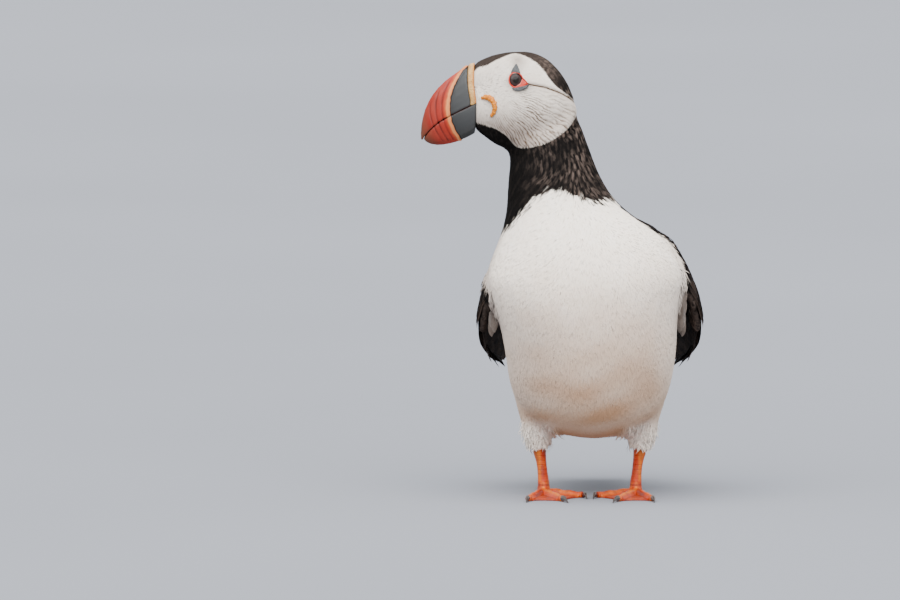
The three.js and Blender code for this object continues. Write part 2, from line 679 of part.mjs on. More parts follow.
// Legs and webbed feet, each foot with its toes and claws in the foot's own group.
SIDES.forEach(([sideName, side]) => {
  const thigh = toSolid(limbLoft(THIGH, side)).subtract(trunkWithGap);
  const legTop = new THREE.Vector3(0, 0, THIGH.at(-1).z - GAP);
  const ankle = new THREE.Vector3(0, 0, TARSUS[0].z);
  const tarsus = toSolid(limbLoft(TARSUS, side))
    .intersect(halfSpace(legTop, Z.clone().negate()))
    .intersect(halfSpace(ankle, Z));
  bird.add(piece(`thigh_${sideName}`, toGeometry(thigh), FINISHES.white()));
  bird.add(piece(`tarsus_${sideName}`, toGeometry(tarsus), FINISHES.leg()));

  const foot = new THREE.Group();
  foot.position.set(side * FOOT_JOINT.x, FOOT_JOINT.y, 0);
  foot.rotation.z = Math.PI;
  const footShape = footGeometry();
  if (side < 0) {
    footShape.scale(-1, 1, 1);
    facingOut(footShape);
    footShape.computeVertexNormals();
  }
  foot.add(piece(`foot_${sideName}`, footShape, FINISHES.leg()));
  TOES.forEach((toe) => {
    const claw = piece(`claw_${toe.name}_${sideName}`, clawGeometry(toe.claw), FINISHES.claw());
    const clearance = GAP + CLAW.half * Math.abs(Math.sin(toe.clawTurn * RADIANS));
    const end = toeTip(toe, toe.length + clearance);
    claw.position.set(side * end.x, end.y, 0);
    claw.rotation.z = -side * (toe.heading + toe.clawTurn) * RADIANS;
    foot.add(claw);
  });
  bird.add(foot);
});

// Bill, pale band, mouth folds and eyes, in the turned head's own group.
const headGroup = new THREE.Group();
headGroup.position.set(HEAD_PLACE.x, HEAD_PLACE.y, HEAD_PLACE.rise);
headGroup.rotation.z = (270 - HEAD_PLACE.turn) * RADIANS;
const upperRoot = toSolid(billLoft(UPPER_BILL));
const lowerRoot = toSolid(billLoft(LOWER_BILL));
const clearOfFace = faceFront.clone().addScaledVector(faceNormalOut, GAP);
const upperFront = upperRoot.intersect(halfSpace(clearOfFace, faceNormalOut));
const [upperHorn, cere] = part(upperFront, cereFront, faceNormalOut);
const lowerHorn = lowerRoot.intersect(halfSpace(clearOfFace, faceNormalOut));
headGroup.add(
  piece('bill_upper', toGeometry(upperHorn), FINISHES.billRed()),
  piece('cere', toGeometry(cere), FINISHES.cere()),
  piece('bill_lower', toGeometry(lowerHorn), FINISHES.billRed()),
);
SIDES.forEach(([sideName, side]) => {
  const clear = (geometry) => toGeometry(toSolid(geometry)
    .subtract(headWithGap)
    .subtract(toSolid(eyeball(EYE.radius + GAP, side))));
  headGroup.add(
    piece(`eye_${sideName}`, eyeball(EYE.radius, side), FINISHES.eye()),
    piece(`eye_plate_upper_${sideName}`, clear(upperPlate(side)), FINISHES.plate()),
    piece(`eye_plate_lower_${sideName}`, clear(lowerPlate(side)), FINISHES.plate()),
    piece(`mouth_fold_${sideName}`, clear(rosette(side)), FINISHES.rosette()),
  );
});
bird.add(headGroup);

// The whole bird's box is centred over the origin, with the soles at height zero.
bird.updateMatrixWorld(true);
const box = new THREE.Box3().setFromObject(bird, true);
const centre = box.getCenter(new THREE.Vector3());
bird.position.set(-centre.x, -centre.y, -box.min.z);

export default bird;
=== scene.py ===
"""A life-size Atlantic puffin in summer plumage, standing with its head turned to its right.

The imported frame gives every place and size. One skin stands for the flesh, lies inside it by
the coat's depth and carries the legs and feet; closed blades and vanes lie over it as the
feathers; the bill, its base band, the mouth folds, the eyes, the horny eye plates and the
claws are pieces of their own."""
import math
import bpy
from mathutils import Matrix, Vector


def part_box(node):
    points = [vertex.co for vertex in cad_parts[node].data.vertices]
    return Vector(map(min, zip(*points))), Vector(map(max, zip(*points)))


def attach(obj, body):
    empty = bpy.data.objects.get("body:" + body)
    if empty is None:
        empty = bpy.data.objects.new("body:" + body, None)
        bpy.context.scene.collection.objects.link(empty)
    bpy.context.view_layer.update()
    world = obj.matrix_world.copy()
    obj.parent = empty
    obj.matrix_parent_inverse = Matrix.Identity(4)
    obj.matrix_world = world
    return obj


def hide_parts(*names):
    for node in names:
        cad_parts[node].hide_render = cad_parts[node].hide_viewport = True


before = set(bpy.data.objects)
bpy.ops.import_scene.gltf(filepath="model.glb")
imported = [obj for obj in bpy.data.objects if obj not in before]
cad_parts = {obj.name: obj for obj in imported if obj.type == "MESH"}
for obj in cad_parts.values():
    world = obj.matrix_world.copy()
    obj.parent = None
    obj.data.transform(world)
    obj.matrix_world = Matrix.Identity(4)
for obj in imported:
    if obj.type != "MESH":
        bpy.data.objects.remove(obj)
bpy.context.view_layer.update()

from types import SimpleNamespace

import bmesh
import bpy
import numpy as np
from mathutils.bvhtree import BVHTree

MM = 0.001
UP = np.array([0.0, 0.0, 1.0])
SIDES = {"left": 1.0, "right": -1.0}     # which way each side lies along x
TURN = 2 * math.pi


# ---- Places worked out from the frame -------------------------------------------------

def middle(name):
    """The middle of a CAD node's box."""
    low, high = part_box(name)
    return (np.array(low) + np.array(high)) / 2


def unit(vectors):
    return vectors / np.maximum(np.linalg.norm(vectors, axis=-1, keepdims=True), 1e-12)


BETWEEN_EYES = middle("eye_left") - middle("eye_right")
HEAD_LEFT = unit(BETWEEN_EYES * [1, 1, 0])
HEAD_FORWARD = np.cross(HEAD_LEFT, UP)
OPENING = (0.1, 5.0, 1.25)    # from a ball's middle to its opening: forward, out and up
EYE_LEVEL = (middle("eye_left") + middle("eye_right")) / 2
EYE_LEVEL = EYE_LEVEL + (OPENING[0] * HEAD_FORWARD + OPENING[2] * UP) * MM
EYE_OUT = np.linalg.norm(BETWEEN_EYES) / 2 / MM + OPENING[1]
SLANT = (0.105, 0.087)        # the head's markings are drawn from a little ahead and above
SHANKS_BACK = 11.9            # the shanks stand this far behind the middle of the trunk
STANCE = (middle("tarsus_left") + middle("tarsus_right")) / 2 * [1, 1, 0]
STANCE = STANCE - [0, SHANKS_BACK * MM, 0]


def on_head(points):
    """Forward of the eyes, to the bird's left and above the eyes, in mm."""
    away = (np.asarray(points) - EYE_LEVEL) / MM
    return away @ HEAD_FORWARD, away @ HEAD_LEFT, away[..., 2]


def in_profile(points):
    """Forward of and above the eye in the plane in which the markings are drawn, in mm."""
    forward, left, above = on_head(points)
    deeper = EYE_OUT - np.abs(left)
    return forward + SLANT[0] * deeper, above + SLANT[1] * deeper


def from_head(forward, left, above):
    """Places given forward of, to the left of and above the eyes, in mm."""
    forward, left, above = np.broadcast_arrays(forward, left, above)
    away = forward[..., None] * HEAD_FORWARD + left[..., None] * HEAD_LEFT
    return EYE_LEVEL + (away + above[..., None] * UP) * MM


def on_body(points):
    """Across to the bird's left, backward and up from the middle of the trunk, in mm."""
    away = (np.asarray(points) - STANCE) / MM
    return away[..., 0], away[..., 1], away[..., 2]


# ---- Small numeric tools ----------------------------------------------------------------

def step(low, high, value):
    """Eases from 0 at low to 1 at high."""
    share = np.clip((value - low) / (high - low), 0, 1)
    return share * share * (3 - 2 * share)


def mix(first, second, share):
    """From first at a share of 0 to second at 1."""
    return first + (second - first) * share


def bell(value, width):
    """1 at 0, falling smoothly to nothing a few widths away."""
    return np.exp(-(value / width) ** 2)


def ripple(points, size, seed):
    """Smooth noise of about -1 to 1, in waves of about `size` mm."""
    draw = np.random.default_rng(seed)
    total = 0
    for _ in range(6):
        way = unit(draw.normal(size=3)) * TURN / (size * MM * draw.uniform(0.7, 1.5))
        total = total + np.sin(np.asarray(points) @ way + draw.uniform(0, TURN))
    return total / 2.6


def line_distance(across, up, corners):
    """Distance in mm to an open line of corners in the plane of the head's profile."""
    best = np.full(np.shape(across), 1e9)
    for (x0, y0), (x1, y1) in zip(corners, corners[1:]):
        run, rise = x1 - x0, y1 - y0
        share = ((across - x0) * run + (up - y0) * rise) / (run * run + rise * rise)
        share = np.clip(share, 0, 1)
        best = np.minimum(best, np.hypot(across - x0 - share * run, up - y0 - share * rise))
    return best


def rounded_loop(corners, cuts=5):
    """A closed smooth line through the corners, as points."""
    corners = np.array(corners, float)
    found = []
    for i in range(len(corners)):
        a, b, c, d = (corners[(i + k) % len(corners)] for k in (-1, 0, 1, 2))
        for t in np.arange(cuts) / cuts:
            found.append(0.5 * (2 * b + (c - a) * t + (2 * a - 5 * b + 4 * c - d) * t * t
                                + (3 * b - a - 3 * c + d) * t ** 3))
    return np.array(found)


def inside_loop(across, up, loop):
    """Distance in mm to the edge of a closed loop, positive inside it."""
    ring = np.vstack([loop, loop[:1]])
    inside = np.zeros(np.shape(across), bool)
    for (x0, y0), (x1, y1) in zip(ring, ring[1:]):
        if y0 != y1:
            crosses = (up > min(y0, y1)) & (up <= max(y0, y1))
            inside ^= crosses & (across < x0 + (up - y0) * (x1 - x0) / (y1 - y0))
    return np.where(inside, 1, -1) * line_distance(across, up, ring)


# ---- Mesh tools -------------------------------------------------------------------------

def numbers(items, name, width, kind=np.float32):
    """One property of all of a mesh's items, `width` numbers to an item."""
    found = np.empty(len(items) * width, kind)
    items.foreach_get(name, found)
    return found.reshape(-1, width)


def new_mesh(name, points, faces):
    """A mesh of faces that all have as many corners."""
    mesh = bpy.data.meshes.new(name)
    mesh.vertices.add(len(points))
    mesh.vertices.foreach_set("co", np.asarray(points, np.float32).ravel())
    mesh.loops.add(faces.size)
    mesh.loops.foreach_set("vertex_index", np.asarray(faces, np.int32).ravel())
    mesh.polygons.add(len(faces))
    starts = np.arange(0, faces.size, faces.shape[1], dtype=np.int32)
    mesh.polygons.foreach_set("loop_start", starts)
    mesh.update(calc_edges=True)
    mesh.validate()
    mesh.shade_smooth()
    return mesh


def put(name, mesh, material, replaces=()):
    """Places a finished piece on the bird's one body."""
    piece = bpy.data.objects.new(name, mesh)
    bpy.context.scene.collection.objects.link(piece)
    for one in material if isinstance(material, (list, tuple)) else [material]:
        mesh.materials.append(one)
    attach(piece, "root")
    if replaces:
        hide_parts(*replaces)
    return piece


def point_normals(points, faces):
    """Each point's normal, from the faces around it."""
    total = np.zeros((len(points), 3))
    across = points[faces[:, 2]] - points[faces[:, 0]]
    other = points[faces[:, -1]] - points[faces[:, 1]]
    normal = np.cross(across, other) if faces.shape[1] == 4 else np.cross(
        points[faces[:, 1]] - points[faces[:, 0]], across)
    for corner in range(faces.shape[1]):
        for axis in range(3):
            total[:, axis] += np.bincount(faces[:, corner], normal[:, axis], len(points))
    return unit(total)


def node_solid(name, grow=0.0):
    """A CAD node as welded points and triangles, grown outward by some mm."""
    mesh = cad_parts[name].data
    mesh.calc_loop_triangles()
    points = numbers(mesh.vertices, "co", 3).astype(float)
    triangles = numbers(mesh.loop_triangles, "vertices", 3, np.int32)
    keys = np.round(points / (0.01 * MM)).astype(np.int64)
    _, first, back = np.unique(keys, axis=0, return_index=True, return_inverse=True)
    points, triangles = points[first], back.reshape(-1)[triangles]
    return points + grow * MM * point_normals(points, triangles), triangles


def together(solids):
    """Several lots of points and faces as one."""
    starts = np.cumsum([0] + [len(points) for points, _ in solids])
    faces = [faces + start for (_, faces), start in zip(solids, starts)]
    return np.vstack([points for points, _ in solids]), np.vstack(faces)


def remeshed(solids, voxel):
    """One closed quad mesh around overlapping solids, its faces about `voxel` mm wide."""
    holder = bpy.data.objects.new("holder", new_mesh("holder", *together(solids)))
    bpy.context.scene.collection.objects.link(holder)
    remesh = holder.modifiers.new("even faces", "REMESH")
    remesh.mode = "VOXEL"
    remesh.voxel_size = voxel * MM
    found = holder.evaluated_get(bpy.context.evaluated_depsgraph_get()).to_mesh()
    points = numbers(found.vertices, "co", 3).astype(float)
    faces = numbers(found.loops, "vertex_index", 1, np.int32).reshape(-1, 4)
    bpy.data.objects.remove(holder)
    return points, faces


def edges_of(faces):
    """Each edge of the faces once, as its two points."""
    pairs = np.vstack([faces[:, [i, (i + 1) % faces.shape[1]]] for i in range(faces.shape[1])])
    return np.unique(np.sort(pairs, axis=1), axis=0)


def spread(values, edges, rounds, strength):
    """Evens values out between neighbours, over and over."""
    ends = np.concatenate([edges[:, 0], edges[:, 1]])
    others = np.concatenate([edges[:, 1], edges[:, 0]])
    count = np.maximum(np.bincount(ends, minlength=len(values)), 1)
    columns = values.reshape(len(values), -1).copy()
    strength = np.broadcast_to(strength, len(values))
    for _ in range(rounds):
        for axis in range(columns.shape[1]):
            near = np.bincount(ends, columns[others, axis], len(values)) / count
            columns[:, axis] += strength * (near - columns[:, axis])
    return columns.reshape(values.shape)


def smoothed(points, faces, rounds, strength=0.5):
    """Rounds a surface off and gives back the fullness that rounding takes."""
    edges = edges_of(faces)
    soft = spread(points, edges, rounds, strength)
    normals = point_normals(soft, faces)
    lost = ((points - soft) * normals).sum(1)
    return soft + normals * spread(lost, edges, rounds, 0.5)[:, None]


def halved(points, faces, chosen):
    """Cuts the chosen points' faces in four; the result is all triangles."""
    work = bmesh.new()
    work.from_mesh(new_mesh("work", points, faces))
    work.verts.ensure_lookup_table()
    inner = [e for e in work.edges if chosen[e.verts[0].index] and chosen[e.verts[1].index]]
    bmesh.ops.subdivide_edges(work, edges=inner, cuts=1, use_grid_fill=True)
    bmesh.ops.triangulate(work, faces=work.faces)
    mesh = bpy.data.meshes.new("halved")
    work.to_mesh(mesh)
    work.free()
    return (numbers(mesh.vertices, "co", 3).astype(float),
            numbers(mesh.loops, "vertex_index", 1, np.int32).reshape(-1, 3))


def triangles_of(faces):
    """Quads as triangles."""
    return np.vstack([faces[:, [0, 1, 2]], faces[:, [0, 2, 3]]])


def tree_of(points, faces):
    return BVHTree.FromPolygons(points.tolist(), faces.tolist())


def nearest(tree, points):
    """The nearest place on a surface for each point, with its normal and distance."""
    places, normals, gaps = [], [], []
    for point in points.tolist():
        place, normal, _, gap = tree.find_nearest(point)
        places.append(place[:])
        normals.append(normal[:])
        gaps.append(gap)
    return np.array(places), np.array(normals), np.array(gaps)


def keep_numbers(mesh, **values):
    """Writes numbers for the materials to read, one for each point."""
    for name, value in values.items():
        made = mesh.attributes.new(name, "FLOAT", "POINT")
        made.data.foreach_set("value", np.asarray(value, np.float32))


# ---- The folded wings, seen from the side ----------------------------------------------------

WING_SLOPE = math.radians(34.8)    # how far the folded wing points below level
SLOPE_COS, SLOPE_SIN = math.cos(WING_SLOPE), math.sin(WING_SLOPE)
TO_WING_TIP = np.array([0, SLOPE_COS, -SLOPE_SIN])
TO_WING_TOP = np.array([0, SLOPE_SIN, SLOPE_COS])
SHEET_STEP = 1.5                   # the grid's spacing on the wing's outer face, in mm
SHEET_ALONG = np.arange(-96, 46, SHEET_STEP)
SHEET_ACROSS = np.arange(60, 138, SHEET_STEP)


def on_wing(points):
    """Along the folded wing towards its tip and across it towards the back, in mm."""
    _, back, height = on_body(points)
    return SLOPE_COS * back - SLOPE_SIN * height, SLOPE_SIN * back + SLOPE_COS * height


def wing_sheet(side, sign):
    """How far out the wing's outer face lies, over a grid seen from the side, in mm."""
    solids = [node_solid(f"wing_{side}", 0.2), node_solid(f"flight_feathers_{side}", 0.2)]
    points, faces = remeshed(solids, 1.2)
    tree = tree_of(smoothed(points, faces, 14), faces)
    along, across = np.meshgrid(SHEET_ALONG, SHEET_ACROSS, indexing="ij")
    start = STANCE + (sign * 100 * np.array([1.0, 0, 0]) + along[..., None] * TO_WING_TIP
                      + across[..., None] * TO_WING_TOP) * MM
    hits = [tree.ray_cast(point, (-sign, 0, 0))[0] for point in start.reshape(-1, 3).tolist()]
    out = np.array([np.nan if hit is None else sign * (hit[0] - STANCE[0]) / MM
                    for hit in hits]).reshape(along.shape)
    known = ~np.isnan(out)
    out = np.where(known, out, np.nanmean(out))
    for turn in range(260):
        edged = np.pad(out, 1, mode="edge")
        near = (edged[:-2, 1:-1] + edged[2:, 1:-1] + edged[1:-1, :-2] + edged[1:-1, 2:]) / 4
        out = np.where(known & (turn < 254), out, near)
    return out


def sheet_out(side, along, across):
    """The outer face's distance from the middle of the bird at places on its sheet."""
    u = np.clip((along - SHEET_ALONG[0]) / SHEET_STEP, 0, len(SHEET_ALONG) - 1.01)
    v = np.clip((across - SHEET_ACROSS[0]) / SHEET_STEP, 0, len(SHEET_ACROSS) - 1.01)
    i, j = u.astype(int), v.astype(int)
    sheet = WING_SHEETS[side]
    low = mix(sheet[i, j], sheet[i, j + 1], v - j)
    high = mix(sheet[i + 1, j], sheet[i + 1, j + 1], v - j)
    return mix(low, high, u - i)


def wing_face(side, along, across, lift=0.0):
    """Places on a wing's outer face, and its normals there."""
    sign = SIDES[side]
    out = sheet_out(side, along, across)
    run = (sheet_out(side, along + 2, across) - sheet_out(side, along - 2, across)) / 4
    rise = (sheet_out(side, along, across + 2) - sheet_out(side, along, across - 2)) / 4
    outward = np.array([sign, 0, 0])
    normals = unit(outward - run[..., None] * TO_WING_TIP - rise[..., None] * TO_WING_TOP)
    places = STANCE + (out[..., None] * outward + along[..., None] * TO_WING_TIP
                       + across[..., None] * TO_WING_TOP) * MM
    return places + normals * np.asarray(lift)[..., None] * MM, normals


WING_SHEETS = {side: wing_sheet(side, sign) for side, sign in SIDES.items()}
WING_TREES = {side: tree_of(*node_solid(f"wing_{side}")) for side in SIDES}
WHOLE_WINGS = {side: tree_of(*together([node_solid(f"wing_{side}"),
                                        node_solid(f"flight_feathers_{side}")]))
               for side in SIDES}


def wing_closeness(points, near=0.8, far=2.2):
    """1 on the arms of the wings, 0 a few mm away from them."""
    across, _, height = on_body(points)
    close = np.zeros(len(points))
    for side, sign in SIDES.items():
        asked = np.flatnonzero((across * sign > 28) & (height < 152) & (height > 68))
        if len(asked):
            _, _, gaps = nearest(WING_TREES[side], points[asked])
            close[asked] = 1 - step(near * MM, far * MM, gaps)
    return close


# How far out from the middle of the bird the wings reach at each height, in mm.
WING_OUTLINE = [(68, 51), (79.5, 56.5), (83, 58.7), (95, 60), (103, 59.5), (115, 55), (126, 50)]
# The front edge of the folded wings: how far back it lies at each height, in mm.
WING_FRONT = [(84, 20), (96, 6), (102, -2), (109, -9.5), (125, -22)]


def lining(points):
    """1 on the pale lining of the wings, on their side towards the body."""
    across, back, height = on_body(points)
    depth = np.interp(height, *zip(*WING_OUTLINE)) - np.abs(across) + ripple(points, 4, 7)
    hidden = step(7, 13, back - np.interp(height, *zip(*WING_FRONT)))
    shown = step(83, 89, height) * (1 - step(112, 122, height)) * (1 - hidden)
    return step(6.5, 8.5, depth) * shown


def wing_place(points):
    """How much each point is on a wing's arm, and how much it is on the wing's lining."""
    return wing_closeness(points), lining(points)


# ---- Markings: where each colour of the plumage lies -------------------------------------

# The white face, around the side of the head: forward of the eye and above it, in mm.
FACE_EDGE = rounded_loop([
    (21.8, 5.2), (16, 7.7), (11, 10.4), (3.7, 13.5), (-0.4, 14), (-6.1, 12), (-12.4, 7.5),
    (-20.2, -2.5), (-29.3, -10), (-32.2, -14), (-32.4, -18.2), (-29.1, -24), (-24.2, -28.8),
    (-16.6, -33.5), (-9.4, -35.7), (-1, -35.6), (5, -29.5), (11, -25.5), (17, -23.5),
    (24, -20), (27, -8)])
# The crease that runs back from the rear corner of the eye.
EYE_CREASE = [(-6.5, -2.4), (-15.6, -4), (-24.1, -7.3), (-31, -11.4)]
FLOW_SOURCE = (20.0, -4.0)     # the face feathers lie away from here, at the bill's base
# The lower edge of the collar: across to the bird's left and its height there, in mm.
COLLAR_EDGE = [(-70, 130), (-45, 143.5), (-36, 155), (-29, 163), (-21.4, 167), (-11, 164.5),
               (2, 159.5), (12.3, 160.5), (24.6, 153.5), (50, 130)]
# Where the white of the sides ends: the height and how far back it is there, in mm.
BACK_EDGE = [(25, 76), (40, 69), (50, 51), (62, 33), (74, 21), (85, 15), (100, 18),
             (125, 7.5), (140, 0.5), (150, -8)]


def face_depth(points):
    """How far inside the white face a point is, in mm; negative outside it and on the
    dark strip that joins the crown to the collar down the nape."""
    forward, above = in_profile(points)
    off_nape = np.abs(on_head(points)[1] + 1.5) - 6.5
    off_nape = off_nape + 40 * step(-18, -8, forward)
    return np.minimum(inside_loop(forward, above, FACE_EDGE), off_nape)


def above_neck(points):
    """Distance in mm above the slanting top of the neck."""
    across, _, height = on_body(points)
    return (-0.28 * (across + 25) + (height - 190)) / math.hypot(0.28, 1)


def darkness(points):
    """1 where the plumage is black-brown, 0 where it is white."""
    across, back, height = on_body(points)
    face = face_depth(points)
    ragged = ripple(points * [1, 1, 0.25], 2.0, 3) * 1.5 + ripple(points, 9, 4) * 0.9
    collar = height - np.interp(across, *zip(*COLLAR_EDGE)) + ragged
    heights, places = zip(*BACK_EDGE)
    lean = mix(0.1, 0.29, step(108, 132, height))
    behind = back - np.interp(height, heights, places) + lean * across + ragged
    torso = np.maximum(step(-1.2, 1.2, collar), step(-1.5, 1.5, behind))
    head = 1 - step(-0.35, 0.35, face)
    found = np.where(above_neck(points) > -12, np.where(face > -1, head, 1.0), torso)
    wing, inner = wing_place(points)
    return mix(found, 1 - 0.85 * inner, wing)


def furrows(points):
    """1 along the fine furrows that fan back over the cheek from the gape and along the crease
    behind the eye; as a colour it is painted shadow in them.
    """
    forward, above = in_profile(points)
    run, rise = forward - FLOW_SOURCE[0], above - FLOW_SOURCE[1]
    reach = np.hypot(run, rise)
    angle = np.arctan2(-rise, -run) - 0.0035 * (reach - 30)
    wander = 0.30 * ripple(points, 7, 11) + 0.16 * ripple(points, 3, 12)
    wave = np.abs(np.sin(math.pi * (angle * 22 + wander)))
    strength = step(-0.12, 0.38, angle) * (1 - step(1.5, 1.7, angle)) * step(12, 28, reach)
    uneven = np.clip(0.75 + 0.45 * ripple(points, 5, 13), 0, 1)
    # Painted shadow along the crease behind the eye.
    crease = bell(line_distance(forward, above, EYE_CREASE), 0.55) * 1.1
    inner = step(-0.5, 0.6, face_depth(points))
    return np.clip(1.25 * (1 - wave) ** 1.4 * strength * uneven + crease, 0, 1) * inner


def lower_buff_and_shade(points):
    """The buff of the lower belly and thighs, with painted shade: darker and warmer from the
    breast downward, less so on the sides and on the thigh ends.
    """
    across, _, height = on_body(points)
    thigh = 1 - step(32, 46, height)
    thigh = thigh * step(15, 24, np.abs(across))
    # Real buff together with painted shade: darker and warmer towards the lower belly.
    cast = (1 - step(44, 158, height)) * (0.88 + 0.1 * ripple(points, 24, 21))
    beside = 0.4 * step(24, 46, -across) + 0.45 * step(30, 46, across)
    return np.clip(cast, 0, 1) * (1 - 0.8 * thigh) * (1 - beside)


def grey_and_shade(points):
    """Grey in the white: low on the cheek, behind the eye and along the crease; and painted
    shade on the sides of the upper body and low down on the bird's right side.
    """
    forward, above = in_profile(points)
    across, back, height = on_body(points)
    low_cheek = 0.3 + step(-8, -34, above) * step(-22, 8, forward) * 0.95
    low_cheek = low_cheek + 0.45 * step(-2, -26, above) * step(6, -24, forward)
    behind_eye = bell(np.hypot(forward + 1, above - 10.5), 4) * 0.6
    under_crease = bell(line_distance(forward, above, EYE_CREASE), 2.5) * 0.3
    # Painted shade: grey on the sides of the upper body, and low on the bird's right side.
    side = step(32, 50, np.abs(across)) * step(-26, -4, back) * step(80, 100, height) * 0.75
    side = side + 0.3 * step(0, 36, -across) * step(40, 56, height) * (1 - step(84, 120, height))
    on_face = step(-1, 1, face_depth(points))
    return np.clip(mix(side, low_cheek + behind_eye + under_crease, on_face), 0, 1)


def flecks(points):
    """Worn brown tips in the black: on the sides of the neck, the crown and the nape."""
    _, _, height = on_body(points)
    forward, above = in_profile(points)
    worn = np.clip(0.5 + 0.55 * ripple(points * [1, 1, 0.6], 2.3, 31), 0, 1)
    clumps = np.clip(0.55 + 0.6 * ripple(points, 13, 32), 0, 1)
    neck = step(2, 24, -forward) * step(140, 156, height) * worn ** 2.0 * clumps
    crown = step(-26, -2, above) * step(-34, -6, forward + 0.6 * above)
    return np.clip(0.92 * neck + 0.34 * crown + 0.08 * worn ** 3, 0, 1)


# ---- The lie and size of the coat ---------------------------------------------------------

BARE_AROUND_EYE = 4.2          # no feather grows nearer the middle of the eye


def near_eye(points):
    """Distance in mm from the middle of the nearer eye, in the plane of the profile."""
    forward, above = in_profile(points)
    return np.hypot(forward, above)


def zones(points):
    """How much each point belongs to the face, the head and the trunk."""
    _, _, height = on_body(points)
    head = step(-8, 4, above_neck(points))
    face = step(-1.5, 1.0, face_depth(points)) * head
    return face, head, 1 - step(146, 168, height)


def coat_depth(points):
    """How far the skin lies inside the tips of the feathers, in mm."""
    face, head, trunk = zones(points)
    forward, _, _ = on_head(points)
    _, _, height = on_body(points)
    depth = mix(1.5, 1.8, trunk)
    depth = mix(depth, 0.85, head)
    depth = mix(depth, 0.6, face)
    depth = depth * step(BARE_AROUND_EYE - 1.5, BARE_AROUND_EYE + 2, near_eye(points))
    depth = depth * mix(1, 1 - step(18, 23, forward), head)
    return depth * step(26, 40, height)


def lie_of(points, normals):
    """The way the feathers lie at each point, along the surface."""
    face, _, _ = zones(points)
    forward, above = in_profile(points)
    across, back, height = on_body(points)
    run, rise = forward - FLOW_SOURCE[0], above - FLOW_SOURCE[1]
    reach = np.maximum(np.hypot(run, rise), 1)
    droop = 0.16 + 1.5 * step(-8, -28, forward) * (1 - face)
    head_way = ((run / reach)[:, None] * HEAD_FORWARD
                + (rise / reach - droop)[:, None] * UP)
    high = step(86, 142, height)
    fan = mix(0.12, 0.85, high) * (across - 5) / 40 * (1 - 0.85 * step(-12, 12, back))
    fan = fan + 0.13 * ripple(points, 26, 41)
    body_way = np.stack([fan, mix(0.34, 0.62, high), -np.ones(len(points))], axis=1)
    wing_way = TO_WING_TIP - 0.8 * UP
    body_way = mix(body_way, wing_way, wing_closeness(points)[:, None])
    way = mix(body_way, head_way, step(-14, 2, above_neck(points))[:, None])
    way = way - (way * normals).sum(1, keepdims=True) * normals
    return unit(way)


# ---- Materials ------------------------------------------------------------------------------

SHARE, UNDER, OVER, MIXED = 0, 6, 7, 2     # the sockets of a Mix node that mixes colours


def colour(hex_code):
    """A hex colour as the linear values that shaders take."""
    parts = [int(hex_code[i:i + 2], 16) / 255 for i in (1, 3, 5)]
    linear = [p / 12.92 if p <= 0.04045 else ((p + 0.055) / 1.055) ** 2.4 for p in parts]
    return (*linear, 1.0)


def node(tree, kind, out=None, inputs=None, stops=(), **settings):
    """Adds a shader node: its settings, its inputs as values or as links, and its colour
    stops as place and hex. Gives back the output that is asked for."""
    made = tree.nodes.new("ShaderNode" + kind)
    for name, value in settings.items():
        setattr(made, name, value)
    for socket, value in (inputs or {}).items():
        if isinstance(value, bpy.types.NodeSocket):
            tree.links.new(value, made.inputs[socket])
        else:
            made.inputs[socket].default_value = value
    elements = made.color_ramp.elements if stops else ()
    while len(elements) < len(stops):
        elements.new(0.5)
    for element, (place, hex_code) in zip(elements, stops):
        element.position = place
        element.color = colour(hex_code)
    return made if out is None else made.outputs[out]


def painted(tree, base, *layers):
    """A colour with others laid over it in turn, each by a share: an output of a node, or the
    name of a number that is kept on the mesh."""
    for share, over in layers:
        if isinstance(share, str):
            share = node(tree, "Attribute", "Fac", attribute_name=share)
        over = colour(over) if isinstance(over, str) else over
        base = node(tree, "Mix", MIXED, {SHARE: share, UNDER: base, OVER: over},
                    data_type="RGBA")
    return base


def new_material(name):
    """An empty material, its node tree, and the place on the piece that patterns follow."""
    made = bpy.data.materials.new(name)
    made.use_nodes = True
    made.node_tree.nodes.clear()
    return made, made.node_tree, node(made.node_tree, "TexCoord", "Object")


def feather_keratin():
    """Contour feathers: keratin barbs, matt and soft, white where they hold air and
    black-brown where they hold melanin, with worn brown tips. The white also carries
    painted shade low on the belly and on the sides, and painted shadow in the cheek's furrows."""
    made, tree, place = new_material("soft white and black plumage")
    fine = node(tree, "TexNoise", "Fac", {"Vector": place, "Scale": 1 / (1.4 * MM)})
    broad = node(tree, "TexNoise", "Fac", {"Vector": place, "Scale": 1 / (9.0 * MM)})
    tone = node(tree, "Mix", 0, {0: 0.4, 2: fine, 3: broad})
    white = node(tree, "ValToRGB", "Color", {"Fac": tone},
                 [(0.3, "#f4e8d8"), (0.5, "#fbf0e2"), (0.7, "#fdf5ea")])
    # Buff with painted shade low on the belly, grey with painted shade on the sides, painted shadow
    # in the furrows.
    white = painted(tree, white, ("warm", "#b0896a"), ("ash", "#a2958b"),
                    ("furrow", "#54402f"))
    black = node(tree, "ValToRGB", "Color", {"Fac": tone},
                 [(0.3, "#050404"), (0.55, "#0c0a09"), (0.75, "#171310")])
    black = painted(tree, black, ("fleck", "#574b44"))
    base = painted(tree, white, ("dark", black))
    along = node(tree, "Attribute", "Fac", attribute_name="along")
    root_shade = node(tree, "Math", 0, {0: along, 1: 0.12, 2: 0.88}, operation="MULTIPLY_ADD")
    base = node(tree, "Mix", MIXED, {SHARE: 1.0, UNDER: base, OVER: root_shade},
                data_type="RGBA", blend_type="MULTIPLY")
    shader = node(tree, "BsdfPrincipled", 0, {"Base Color": base, "Roughness": 0.85,
                                              "Specular IOR Level": 0.07})
    node(tree, "OutputMaterial", None, {"Surface": shader})
    return made


